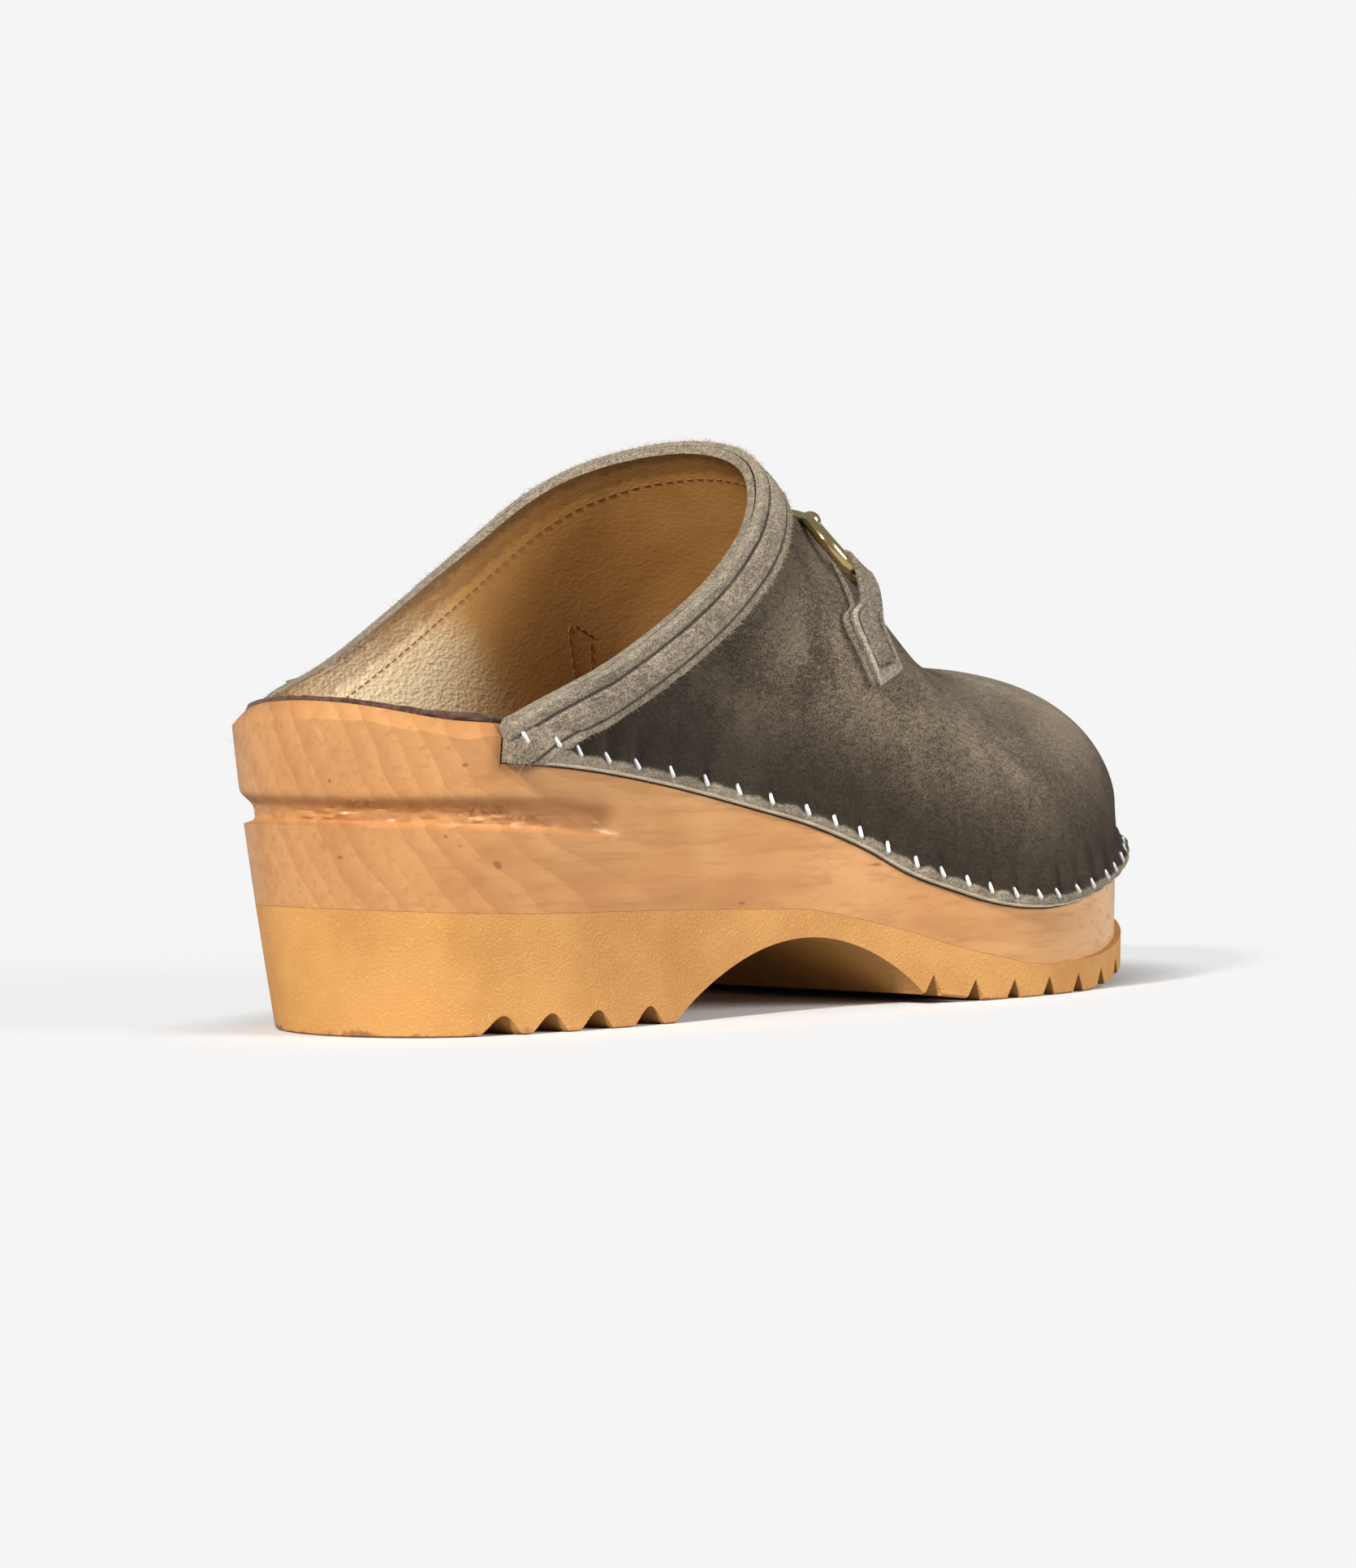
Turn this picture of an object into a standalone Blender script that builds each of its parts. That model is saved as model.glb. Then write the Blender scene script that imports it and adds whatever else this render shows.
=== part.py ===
"""Right-foot clog: carved wooden sole on a rubber tread, hollow suede upper stapled round its edge.

The shoe's frame is in metres. +X runs to the toe, +Y to the inner (medial) side of this right foot
and +Z up. The floor is z = 0 and the origin is on it, under the middle of the heel's tread.
"""
import math

import bmesh
import bpy
import numpy as np

# Driving sizes of the last and the sole
LENGTH = 0.262
BALL_WIDTH = 0.0952
HEEL_HEIGHT = 0.0655
INSTEP_HEIGHT = 0.1172
TOE_TIP_SIDE = 0.005
RIDGE_SIDE = 0.002
TOE_CENTRE = 0.7824 * LENGTH
COLLAR_START = 0.0931 * LENGTH
COLLAR_APEX = 0.4828 * LENGTH

# Wooden sole
HEEL_LEAN = 0.009
LEAN_TOP = 0.0610
LEAN_POWER = 1.2
LEAN_REACH = 0.075
FORE_LEAN_SHARE = 0.08
CHAMFER_DROP = 0.0030
CHAMFER_INSET = 0.0022
GROOVE_TOP = 0.0475
GROOVE_LEDGE = 0.0450
GROOVE_SLOPE = 0.0055
GROOVE_DEPTH = 0.0024
GROOVE_END = 0.060
GROOVE_FADE = 0.010
FOOTBED_DISH = 0.0035
FOOTBED_RIM = 0.003

# Rubber outsole
TOE_SPRING = 0.0095
SPRING_START = 0.203
TREAD_FLARE = 0.0015
FLARE_START = 0.170
ARCH_START = 0.0765
ARCH_END = 0.1505
ARCH_RISE = 0.0155
ROCKER_RISE = 0.0022
ROCKER_END = 0.1720
HEEL_NOTCH_DEPTH = 0.0038
HEEL_NOTCH_WIDTH = 0.0064
HEEL_NOTCH_FIRST = 0.0257
HEEL_NOTCH_PITCH = 0.0142
HEEL_NOTCH_COUNT = 4
FORE_NOTCH_DEPTH = 0.0038
FORE_NOTCH_WIDTH = 0.0042
FORE_NOTCH_FIRST = 0.1515
FORE_NOTCH_PITCH = 0.0122
FORE_NOTCH_COUNT = 9

# Upper, its binding and the insole
UPPER_WALL = 0.0022
UPPER_PROUD = 0.0008
FLANGE_FLARE = 0.0015
BAND_WIDTH = 0.0112
BAND_THICK = 0.0016
INSOLE_THICK = 0.0015
GAP = 0.0003

# The metal bit over the instep and its two tabs
BIT_AHEAD = 0.0031
BIT_LIFT = 0.0028
RING_REACH = 0.0325
RING_RADIUS = 0.0078
RING_WIRE = 0.0014
BAR_WIRE = 0.0016
KNOB_RADIUS = 0.0023
TAB_LENGTH = 0.0200
TAB_WIDTH = 0.0158
TAB_THICK = 0.0034
TAB_SLANT = 0.02
TAB_HEAD = 0.0022
SKIN_GAP = 0.00050

# Outline of the sole in plan: shares of LENGTH, then of BALL_WIDTH
OUTLINE = (
    # along, lateral, medial
    (0.015, 0.168, 0.178),
    (0.053, 0.289, 0.300),
    (0.130, 0.355, 0.352),
    (0.229, 0.362, 0.347),
    (0.363, 0.373, 0.344),
    (0.496, 0.425, 0.394),
    (0.611, 0.488, 0.455),
    (0.695, 0.515, 0.485),
    (0.779, 0.494, 0.479),
    (0.859, 0.425, 0.439),
    (0.927, 0.305, 0.352),
    (0.977, 0.137, 0.221),
)

# Heights along the side: shares of LENGTH, then of HEEL_HEIGHT
LEVELS = (
    # along, wood to rubber, leather's lower edge, wood's top edge
    (0.000, 0.389, 0.832, 1.000),
    (0.046, 0.379, 0.825, 0.950),
    (0.095, 0.369, 0.817, 0.932),
    (0.267, 0.351, 0.737, 0.861),
    (0.378, 0.336, 0.649, 0.774),
    (0.450, 0.321, 0.580, 0.702),
    (0.504, 0.282, 0.504, 0.626),
    (0.546, 0.244, 0.427, 0.555),
    (0.603, 0.183, 0.356, 0.480),
    (0.637, 0.153, 0.321, 0.445),
    (0.706, 0.107, 0.290, 0.415),
    (0.779, 0.107, 0.310, 0.436),
    (0.844, 0.134, 0.358, 0.482),
    (0.916, 0.180, 0.418, 0.540),
    (1.000, 0.255, 0.480, 0.605),
)
JUNCTION, LEATHER, RIM = range(1, 4)

# Sections of the upper: shares of LENGTH, INSTEP_HEIGHT, a plain exponent, shares of BALL_WIDTH
SECTIONS = (
    # along, ridge, squareness, fullness, lean to the medial side
    (0.093, 0.690, 1.88, 0.062, 0.015),
    (0.191, 0.946, 2.05, 0.077, 0.020),
    (0.294, 1.112, 2.11, 0.094, 0.026),
    (0.382, 1.131, 1.97, 0.074, 0.029),
    (0.483, 1.000, 1.93, 0.049, 0.021),
    (0.553, 0.857, 2.10, 0.031, 0.011),
    (0.630, 0.697, 2.18, 0.009, 0.006),
    (0.706, 0.618, 2.28, -0.012, 0.004),
    (0.782, 0.592, 2.40, -0.034, 0.003),
)
RIDGE, SQUARE, FULL, LEAN = range(1, 5)
TOE_SQUARE = 2.40
TOE_FULL = -0.022

# Height of the collar's edge: shares of LENGTH, then of INSTEP_HEIGHT
COLLAR = (
    # along, height
    (0.093, 0.519),
    (0.110, 0.541),
    (0.191, 0.609),
    (0.294, 0.720),
    (0.380, 0.835),
    (0.451, 0.956),
    (0.483, 1.000),
)

# Mesh densities
SIDE_STEPS = 12
BAND_STEPS = 3
TOE_STEPS = 16
HEEL_STEPS = 14
DOME_STEPS = 13
OUTLINE_SAMPLES = 1600
TUBE_SIDES = 10
RING_SIDES = 28
MERGE = 0.00001

HEEL_MIDDLE = 0.0470
SHARP = math.radians(35)


def smooth(table, column, scale_in, scale_out, at):
    """Cubic through one column of a table, with slopes from its neighbours."""
    rows = np.array(table)
    xs = rows[:, 0] * scale_in
    ys = rows[:, column] * scale_out
    slope = np.gradient(ys, xs)
    at = np.clip(at, xs[0], xs[-1])
    i = np.clip(np.searchsorted(xs, at) - 1, 0, len(xs) - 2)
    step = xs[i + 1] - xs[i]
    t = (at - xs[i]) / step
    rise = 3 * t**2 - 2 * t**3
    bend = (t**3 - 2 * t**2 + t) * slope[i] + (t**3 - t**2) * slope[i + 1]
    return ys[i] * (1 - rise) + ys[i + 1] * rise + bend * step


def closed_curve(points, count):
    """Dense closed cubic spline through points, with its unit tangents."""
    ends = np.roll(points, -1, axis=0)
    chord = np.linalg.norm(ends - points, axis=1)
    size = len(points)
    matrix = np.zeros((size, size))
    right = np.zeros((size, 2))
    for i in range(size):
        before, after = chord[i - 1], chord[i]
        matrix[i, i - 1] += after
        matrix[i, i] += 2 * (before + after)
        matrix[i, (i + 1) % size] += before
        right[i] = 3 * (after * (points[i] - points[i - 1]) / before + before * (ends[i] - points[i]) / after)
    slopes = np.linalg.solve(matrix, right)
    starts = np.concatenate([[0.0], np.cumsum(chord)])
    along = np.linspace(0.0, starts[-1], count, endpoint=False)
    i = np.searchsorted(starts, along, side="right") - 1
    step = chord[i][:, None]
    t = ((along - starts[i]) / chord[i])[:, None]
    a, b = points[i], ends[i]
    sa, sb = slopes[i] * step, slopes[(i + 1) % size] * step
    place = a + (b - a) * (3 * t**2 - 2 * t**3) + sa * (t**3 - 2 * t**2 + t) + sb * (t**3 - t**2)
    tangent = (b - a) * (6 * t - 6 * t**2) + sa * (3 * t**2 - 4 * t + 1) + sb * (3 * t**2 - 2 * t)
    return place, tangent / np.linalg.norm(tangent, axis=1)[:, None]


def sole_outline():
    """The plan outline from the heel's tip along the lateral side, round the toe and back."""
    rows = np.array(OUTLINE)
    x = rows[:, 0] * LENGTH
    lateral = np.column_stack([x, -rows[:, 1] * BALL_WIDTH])
    medial = np.column_stack([x, rows[:, 2] * BALL_WIDTH])[::-1]
    points = np.vstack([[0.0, 0.0], lateral, [LENGTH, TOE_TIP_SIDE], medial])
    place, tangent = closed_curve(points, OUTLINE_SAMPLES)
    return place, np.column_stack([tangent[:, 1], -tangent[:, 0]])


OUT_PLACE, OUT_NORMAL = sole_outline()
TOE_INDEX = int(np.argmax(OUT_PLACE[:, 0]))
LATERAL, MEDIAL = -1, 1


def index_at(x, side):
    """Fractional index into the dense outline where it passes x on one side."""
    if side == LATERAL:
        return np.interp(x, OUT_PLACE[:TOE_INDEX + 1, 0], np.arange(TOE_INDEX + 1))
    xs = np.append(OUT_PLACE[TOE_INDEX:, 0], OUT_PLACE[0, 0])[::-1]
    return np.interp(x, xs, np.arange(TOE_INDEX, OUTLINE_SAMPLES + 1)[::-1])


def outline_point(index, offset=0.0):
    """Point of the outline pushed out along its normal by offset."""
    index = np.asarray(index, float)
    low = np.floor(index).astype(int)
    t = (index - low)[..., None]
    a, b = low % OUTLINE_SAMPLES, (low + 1) % OUTLINE_SAMPLES
    place = OUT_PLACE[a] * (1 - t) + OUT_PLACE[b] * t
    normal = OUT_NORMAL[a] * (1 - t) + OUT_NORMAL[b] * t
    normal /= np.linalg.norm(normal, axis=-1)[..., None]
    return place + normal * np.asarray(offset)[..., None]


def level(x, column):
    """Height of one of the side's lines at x."""
    return smooth(LEVELS, column, LENGTH, HEEL_HEIGHT, x)


def ramp(x, start, end):
    """Soft 0 to 1 between start and end."""
    t = np.clip((x - start) / (end - start), 0.0, 1.0)
    return t * t * (3 - 2 * t)


def floor_height(x):
    """Underside of the tread: flat heel, a slight rocker behind the ball, then the toe spring."""
    rise = np.clip((x - SPRING_START) / (LENGTH - SPRING_START), 0.0, 1.0)
    behind = np.clip((ROCKER_END - x) / (ROCKER_END - ARCH_END), 0.0, 1.0)
    middle = (ARCH_START + ARCH_END) / 2
    rocker = ROCKER_RISE * ramp(x, middle - 0.010, middle + 0.010) * behind**1.5
    return TOE_SPRING * rise**1.6 + rocker


def lean_inset(x, z):
    """How far the sole's side stands in from the outline at height z: the heel narrows downwards."""
    weight = 1 - (1 - FORE_LEAN_SHARE) * ramp(x, 0.0, LEAN_REACH)
    return HEEL_LEAN * weight * np.clip(1 - z / LEAN_TOP, 0.0, 1.0)**LEAN_POWER


def section_point(index, angle, pole=None):
    """Point of the upper over the outline's point at index; angle runs from rim (0) to ridge."""
    base = outline_point(index, UPPER_PROUD)
    side = np.sign(base[..., 1])
    x = outline_point(index)[..., 0]
    station = np.minimum(x, TOE_CENTRE)
    ridge = smooth(SECTIONS, RIDGE, LENGTH, INSTEP_HEIGHT, station)
    square = smooth(SECTIONS, SQUARE, LENGTH, 1.0, station)
    full = smooth(SECTIONS, FULL, LENGTH, BALL_WIDTH, station)
    full = full + side * smooth(SECTIONS, LEAN, LENGTH, BALL_WIDTH, station)
    round_toe = np.clip((x - TOE_CENTRE) / (LENGTH - TOE_CENTRE), 0.0, 1.0)**0.5
    square = square * (1 - round_toe) + TOE_SQUARE * round_toe
    full = full * (1 - round_toe) + TOE_FULL * BALL_WIDTH * round_toe
    foot = np.stack([station, np.full_like(station, RIDGE_SIDE)], axis=-1)
    spoke = base - foot
    away = spoke / np.linalg.norm(spoke, axis=-1)[..., None]
    across = np.cos(angle)**(2 / square)
    up = np.sin(angle)**(2 / square)
    plan = foot + spoke * across[..., None] + away * (full * np.sin(2 * angle))[..., None]
    rim = level(x, RIM)
    return np.concatenate([plan, (rim + (ridge - rim) * up)[..., None]], axis=-1)


def collar_x(angle, side):
    """Where the section at this angle reaches the collar's edge: bisection on height."""
    low = np.full(angle.shape, COLLAR_START)
    high = np.full(angle.shape, COLLAR_APEX)
    for _ in range(40):
        middle = (low + high) / 2
        height = section_point(index_at(middle, side), angle)[..., 2]
        over = height > smooth(COLLAR, 1, LENGTH, INSTEP_HEIGHT, middle)
        low = np.where(over, middle, low)
        high = np.where(over, high, middle)
    return (low + high) / 2


# Rows of the upper along the wood's side: share of the way up to the wood's edge, share of the flare
STRIP = (
    # up, flare
    (0.00, 0.35),
    (0.35, 1.00),
    (0.68, 0.60),
)


def strip_point(index, up, flare, inner=False):
    """Point of the leather along the wood's side, a share of the way up from its cut edge."""
    x = outline_point(index)[..., 0]
    low = level(x, LEATHER)
    high = level(x, RIM)
    out = UPPER_PROUD + flare * FLANGE_FLARE * (0.2 + 0.8 * ramp(x, FLARE_START, FLARE_START + 0.050))
    if inner:
        out = np.full(x.shape, UPPER_PROUD - UPPER_WALL)
    return np.concatenate([outline_point(index, out), (low + (high - low) * up)[..., None]], axis=-1)


def band_columns(row, line, start):
    """X of the columns of one row: across the binding at equal distances from the collar's edge, then
    evenly on to the toe's centre. row gives the surface's points from their x."""
    xs = np.linspace(start, start + 4 * BAND_WIDTH, 60)
    away = np.linalg.norm(row(xs)[:, None] - line[None], axis=2).min(axis=1)
    across = np.interp(BAND_WIDTH * np.arange(1, BAND_STEPS + 1) / BAND_STEPS, away, xs)
    rest = np.linspace(across[-1], TOE_CENTRE, SIDE_STEPS + 1)[1:]
    return np.concatenate([[start], across, rest])


def collar_line(side):
    """Dense points of the collar's edge on one side, with the short upright edge at its foot."""
    angles = np.linspace(0.0, math.pi / 2, 200)
    line = section_point(index_at(collar_x(angles, side), side), angles)
    foot = strip_point(np.full(20, index_at(COLLAR_START, side)), np.linspace(0.0, 1.0, 20), 0.0)
    return np.vstack([foot, line])


def upper_surface():
    """Outer points of the upper, rows from the leather's cut edge to the ridge, and the inner points
    of the rows that lie along the wood. Columns run from the lateral collar edge round the toe to
    the medial one."""
    angles = np.linspace(0.0, math.pi / 2, DOME_STEPS + 1)
    toe = np.linspace(index_at(TOE_CENTRE, LATERAL), index_at(TOE_CENTRE, MEDIAL), TOE_STEPS + 1)[1:-1]
    lines = {side: collar_line(side) for side in (LATERAL, MEDIAL)}

    def whole_row(point, start):
        halves = {}
        for side in (LATERAL, MEDIAL):
            xs = band_columns(lambda x: point(index_at(x, side)), lines[side], start[side])
            halves[side] = index_at(xs, side)
        return np.concatenate([halves[LATERAL], toe, halves[MEDIAL][::-1]])

    outer = []
    inner = []
    corner = {LATERAL: COLLAR_START, MEDIAL: COLLAR_START}
    for up, flare in STRIP:
        index = whole_row(lambda i: strip_point(i, up, flare), corner)
        outer.append(strip_point(index, up, flare))
        inner.append(strip_point(index, up, flare, inner=True))
    for angle in angles:
        start = {side: float(collar_x(np.array([angle]), side)[0]) for side in (LATERAL, MEDIAL)}
        index = whole_row(lambda i: section_point(i, np.full(i.shape, angle)), start)
        outer.append(section_point(index, np.full(index.shape, angle)))
    return np.array(outer), np.array(inner)


def grid_faces(rows, columns):
    """Triangles of a rows by columns grid of vertices, all cut along the same diagonal, so that
    layers made from one grid stay the same distance apart."""
    faces = []
    for r in range(rows - 1):
        for c in range(columns - 1):
            a = r * columns + c
            faces.append((a, a + 1, a + columns + 1))
            faces.append((a, a + columns + 1, a + columns))
    return faces


def merged(points, faces):
    """Joins coincident points; returns the points, the faces and the new index of each old point."""
    keys = {}
    place = []
    new = []
    for point in points:
        found = None
        cell = tuple(np.floor(point / (4 * MERGE)).astype(int))
        for dx in (-1, 0, 1):
            for dy in (-1, 0, 1):
                for dz in (-1, 0, 1):
                    for other in keys.get((cell[0] + dx, cell[1] + dy, cell[2] + dz), ()):
                        if np.abs(place[other] - point).max() < MERGE:
                            found = other
        if found is None:
            found = len(place)
            place.append(point)
            keys.setdefault(cell, []).append(found)
        new.append(found)
    kept = []
    for face in faces:
        loop = []
        for vertex in face:
            if new[vertex] not in loop:
                loop.append(new[vertex])
        if len(loop) > 2:
            kept.append(tuple(loop))
    return np.array(place), kept, new


def point_normals(points, faces):
    """Area-weighted normal of each point."""
    total = np.zeros_like(points)
    for face in faces:
        for i in range(1, len(face) - 1):
            a, b, c = points[face[0]], points[face[i]], points[face[i + 1]]
            total[[face[0], face[i], face[i + 1]]] += np.cross(b - a, c - a)
    return total / np.linalg.norm(total, axis=1)[:, None]


def shell(top, bottom, faces):
    """Closed faces between two layers that share one set of faces, with rims at the open edges."""
    size = len(top)
    border = {}
    for face in faces:
        for a, b in zip(face, face[1:] + face[:1]):
            if (b, a) in border:
                del border[(b, a)]
            else:
                border[(a, b)] = True
    closed = list(faces)
    closed += [tuple(v + size for v in reversed(face)) for face in faces]
    closed += [(b, a, a + size, b + size) for a, b in border]
    return np.vstack([top, bottom]), closed


def material(name, colour, roughness, metallic=0.0):
    """Plain Principled material."""
    made = bpy.data.materials.new(name)
    made.use_nodes = True
    shader = made.node_tree.nodes["Principled BSDF"]
    shader.inputs["Base Color"].default_value = (*colour, 1.0)
    shader.inputs["Roughness"].default_value = roughness
    shader.inputs["Metallic"].default_value = metallic
    return made


def solid(name, points, faces, look):
    """A named object from points and faces, moved so that the heel's middle is the origin."""
    mesh = bpy.data.meshes.new(name)
    placed = np.asarray(points) - np.array([HEEL_MIDDLE, 0.0, 0.0])
    mesh.from_pydata([tuple(p) for p in placed.tolist()], [], faces)
    work = bmesh.new()
    work.from_mesh(mesh)
    bmesh.ops.remove_doubles(work, verts=work.verts, dist=MERGE)
    bmesh.ops.recalc_face_normals(work, faces=work.faces)
    work.to_mesh(mesh)
    work.free()
    mesh.shade_smooth()
    mesh.set_sharp_from_angle(angle=SHARP)
    mesh.materials.append(look)
    made = bpy.data.objects.new(name, mesh)
    bpy.context.scene.collection.objects.link(made)
    return made


def sole_spokes():
    """Outline index of each spoke of the sole, its foot on the middle line, and whether it is at
    the bare heel. The wood steps in between the last bare spoke and the first one under leather."""
    last_bare = COLLAR_START - 0.0012
    side_x = np.linspace(COLLAR_START + 0.015, TOE_CENTRE, SIDE_STEPS + BAND_STEPS)
    side_x = np.concatenate([[last_bare, COLLAR_START - GAP], side_x])
    toe = np.linspace(index_at(TOE_CENTRE, LATERAL), index_at(TOE_CENTRE, MEDIAL), TOE_STEPS + 1)[1:-1]
    heel_start = index_at(last_bare, MEDIAL)
    heel_end = index_at(last_bare, LATERAL) + OUTLINE_SAMPLES
    heel = np.linspace(heel_start, heel_end, HEEL_STEPS + 1)
    index = np.concatenate([index_at(side_x[1:], LATERAL), toe, index_at(side_x[:0:-1], MEDIAL), heel])
    station = np.clip(outline_point(index)[:, 0], last_bare, TOE_CENTRE)
    middle = (outline_point(index_at(station, LATERAL)) + outline_point(index_at(station, MEDIAL))) / 2
    bare = np.arange(len(index)) >= len(index) - len(heel)
    return index, middle, bare


SPOKES, SPOKE_FEET, BARE = sole_spokes()
SPOKE_X = outline_point(SPOKES)[:, 0]
REBATE = np.where(BARE, 0.0, UPPER_WALL - UPPER_PROUD + GAP)
BED_SHARES = (0.0, 0.12, 0.3, 0.6, 1.0)


def ring(inset, height, share=0.0):
    """One ring of the sole: the outline set in, then drawn a share of the way to the middle line.

    height is the ring's own heights, or a function of x."""
    plan = outline_point(SPOKES, -np.broadcast_to(inset, SPOKE_X.shape))
    plan = plan * (1 - share) + SPOKE_FEET * share
    if callable(height):
        height = height(plan[:, 0])
    return np.column_stack([plan, np.broadcast_to(height, SPOKE_X.shape)])


def ring_body(rings):
    """Closed faces of a body whose rings run from the underside's middle to the top's middle."""
    count = len(SPOKES)
    faces = []
    for r in range(len(rings) - 1):
        for c in range(count):
            a, b = r * count + c, r * count + (c + 1) % count
            faces.append((a, b, b + count, a + count))
    points, faces, _ = merged(np.vstack(rings), faces)
    return points, faces


def bed_ring(share, lift):
    """Ring of the dished footbed: share 0 at its edge, 1 on the middle line."""
    dish = FOOTBED_DISH * math.sin(share * math.pi / 2)
    return ring(REBATE + FOOTBED_RIM, lambda x: level(x, RIM) - dish + lift, share)


def junction_rings(inset, drop):
    """Rings of the seam between wood and rubber, from the middle line out."""
    return [ring(inset, lambda x: level(x, JUNCTION) - drop, share) for share in (1.0, 0.5, 0.0)]


def build_wood():
    """Carved sole: leaning heel, cove groove, rebate for the leather, chamfered edge, dished bed."""
    low = level(SPOKE_X, JUNCTION)
    rim = level(SPOKE_X, RIM)
    leather = level(SPOKE_X, LEATHER) - GAP
    fade = 1 - ramp(SPOKE_X, GROOVE_END - GROOVE_FADE, GROOVE_END)
    ledge = GROOVE_LEDGE - GROOVE_SLOPE * ramp(SPOKE_X, 0.0, GROOVE_END)
    ledge = np.minimum(ledge, low + (leather - low) * 0.55)
    crest = np.minimum(GROOVE_TOP, low + (leather - low) * 0.80)
    rings = junction_rings(lean_inset(SPOKE_X, low), 0.0)
    half = (low + ledge) / 2
    rings.append(ring(lean_inset(SPOKE_X, half), half))
    rings.append(ring(lean_inset(SPOKE_X, ledge), ledge))
    for deep, up in ((0.90, 0.12), (1.0, 0.45), (0.55, 0.85), (0.0, 1.0)):
        height = ledge + (crest - ledge) * up
        rings.append(ring(lean_inset(SPOKE_X, height) + GROOVE_DEPTH * deep * fade, height))
    rings.append(ring(lean_inset(SPOKE_X, leather), leather - np.where(BARE, 0.001, 0.0)))
    rings.append(ring(np.where(BARE, lean_inset(SPOKE_X, leather), REBATE), leather))
    rings.append(ring(REBATE, rim - np.where(BARE, CHAMFER_DROP, 0.0012)))
    rings.append(ring(REBATE + np.where(BARE, CHAMFER_INSET, 0.0008), rim))
    rings += [bed_ring(share, 0.0) for share in BED_SHARES]
    points, faces = ring_body(rings)
    return solid("wood_sole", points, faces, material("alder wood", (0.72, 0.38, 0.14), 0.45))


def build_insole():
    """Thin leather sock lying in the footbed."""
    rings = [bed_ring(share, GAP) for share in reversed(BED_SHARES)]
    rings += [bed_ring(share, GAP + INSOLE_THICK) for share in BED_SHARES]
    points, faces = ring_body(rings)
    return solid("insole", points, faces, material("brown leather", (0.08, 0.03, 0.018), 0.8))


def prism(profile):
    """Closed bar along Y, wider than the shoe, over a profile of (x, z) that turns anticlockwise."""
    half = BALL_WIDTH
    count = len(profile)
    points = [(x, -half, z) for x, z in profile] + [(x, half, z) for x, z in profile]
    faces = [tuple(range(count)), tuple(reversed(range(count, 2 * count)))]
    for i in range(count):
        j = (i + 1) % count
        faces.append((i, i + count, j + count, j))
    return points, faces


def arch_profile(steps=16):
    """Side view of the open arch between heel and forefoot."""
    line = []
    for i in range(steps + 1):
        t = i / steps
        rise = ARCH_RISE * max(math.sin(math.pi * t**1.1), 0.0)**0.75
        line.append((ARCH_START + (ARCH_END - ARCH_START) * t, rise))
    below = -ARCH_RISE
    return [(ARCH_END, below), *reversed(line), (ARCH_START, below)]


def notch_profile(x, width, depth, steps):
    """A notch across the tread at x: two steps make a plain V, more a rounded one."""
    base = float(floor_height(x))
    line = []
    for i in range(steps + 1):
        t = 2 * i / steps - 1
        rise = depth * (1 - abs(t)) if steps == 2 else depth * (0.5 + 0.5 * math.cos(math.pi * t))**0.85
        line.append((x + t * width / 2, base + rise))
    below = base - depth
    return [(x + width, below), *reversed(line), (x - width, below)]


def cutter(name, profiles):
    """Hidden tool made of one bar for each profile."""
    points = []
    faces = []
    for profile in profiles:
        bar_points, bar_faces = prism(profile)
        faces += [tuple(v + len(points) for v in face) for face in bar_faces]
        points += bar_points
    return hidden(solid(name, points, faces, material(name, (0.5, 0.5, 0.5), 0.5)))


def hidden(thing):
    """Marks a tool object."""
    thing.hide_render = True
    thing.display_type = "WIRE"
    return thing


def boolean(thing, tool, operation):
    """Exact Boolean modifier."""
    change = thing.modifiers.new(tool.name, "BOOLEAN")
    change.operation = operation
    change.solver = "EXACT"
    change.object = tool


def build_outsole():
    """Rubber unit: heel lift and forefoot in one, with its arch and the notches of its tread."""
    top = level(SPOKE_X, JUNCTION) - GAP
    floor = floor_height(SPOKE_X)
    flare = TREAD_FLARE * ramp(SPOKE_X, FLARE_START, FLARE_START + 0.050)
    upper_inset = lean_inset(SPOKE_X, level(SPOKE_X, JUNCTION)) - flare
    lower_inset = lean_inset(SPOKE_X, floor) - flare
    rings = [ring(lower_inset, floor_height, share) for share in (1.0, 0.5, 0.0)]
    middle = (top + floor) / 2
    rings.append(ring(lean_inset(SPOKE_X, middle) - flare, middle))
    rings += reversed(junction_rings(upper_inset, GAP))
    points, faces = ring_body(rings)
    made = solid("outsole", points, faces, material("amber rubber", (0.55, 0.30, 0.09), 0.6))
    boolean(made, cutter("arch_tool", [arch_profile()]), "DIFFERENCE")
    notches = []
    for i in range(HEEL_NOTCH_COUNT):
        x = HEEL_NOTCH_FIRST + i * HEEL_NOTCH_PITCH
        notches.append(notch_profile(x, HEEL_NOTCH_WIDTH, HEEL_NOTCH_DEPTH, 6))
    for i in range(FORE_NOTCH_COUNT):
        x = FORE_NOTCH_FIRST + i * FORE_NOTCH_PITCH
        notches.append(notch_profile(x, FORE_NOTCH_WIDTH, FORE_NOTCH_DEPTH, 2))
    boolean(made, cutter("notch_tool", notches), "DIFFERENCE")
    return made


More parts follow.
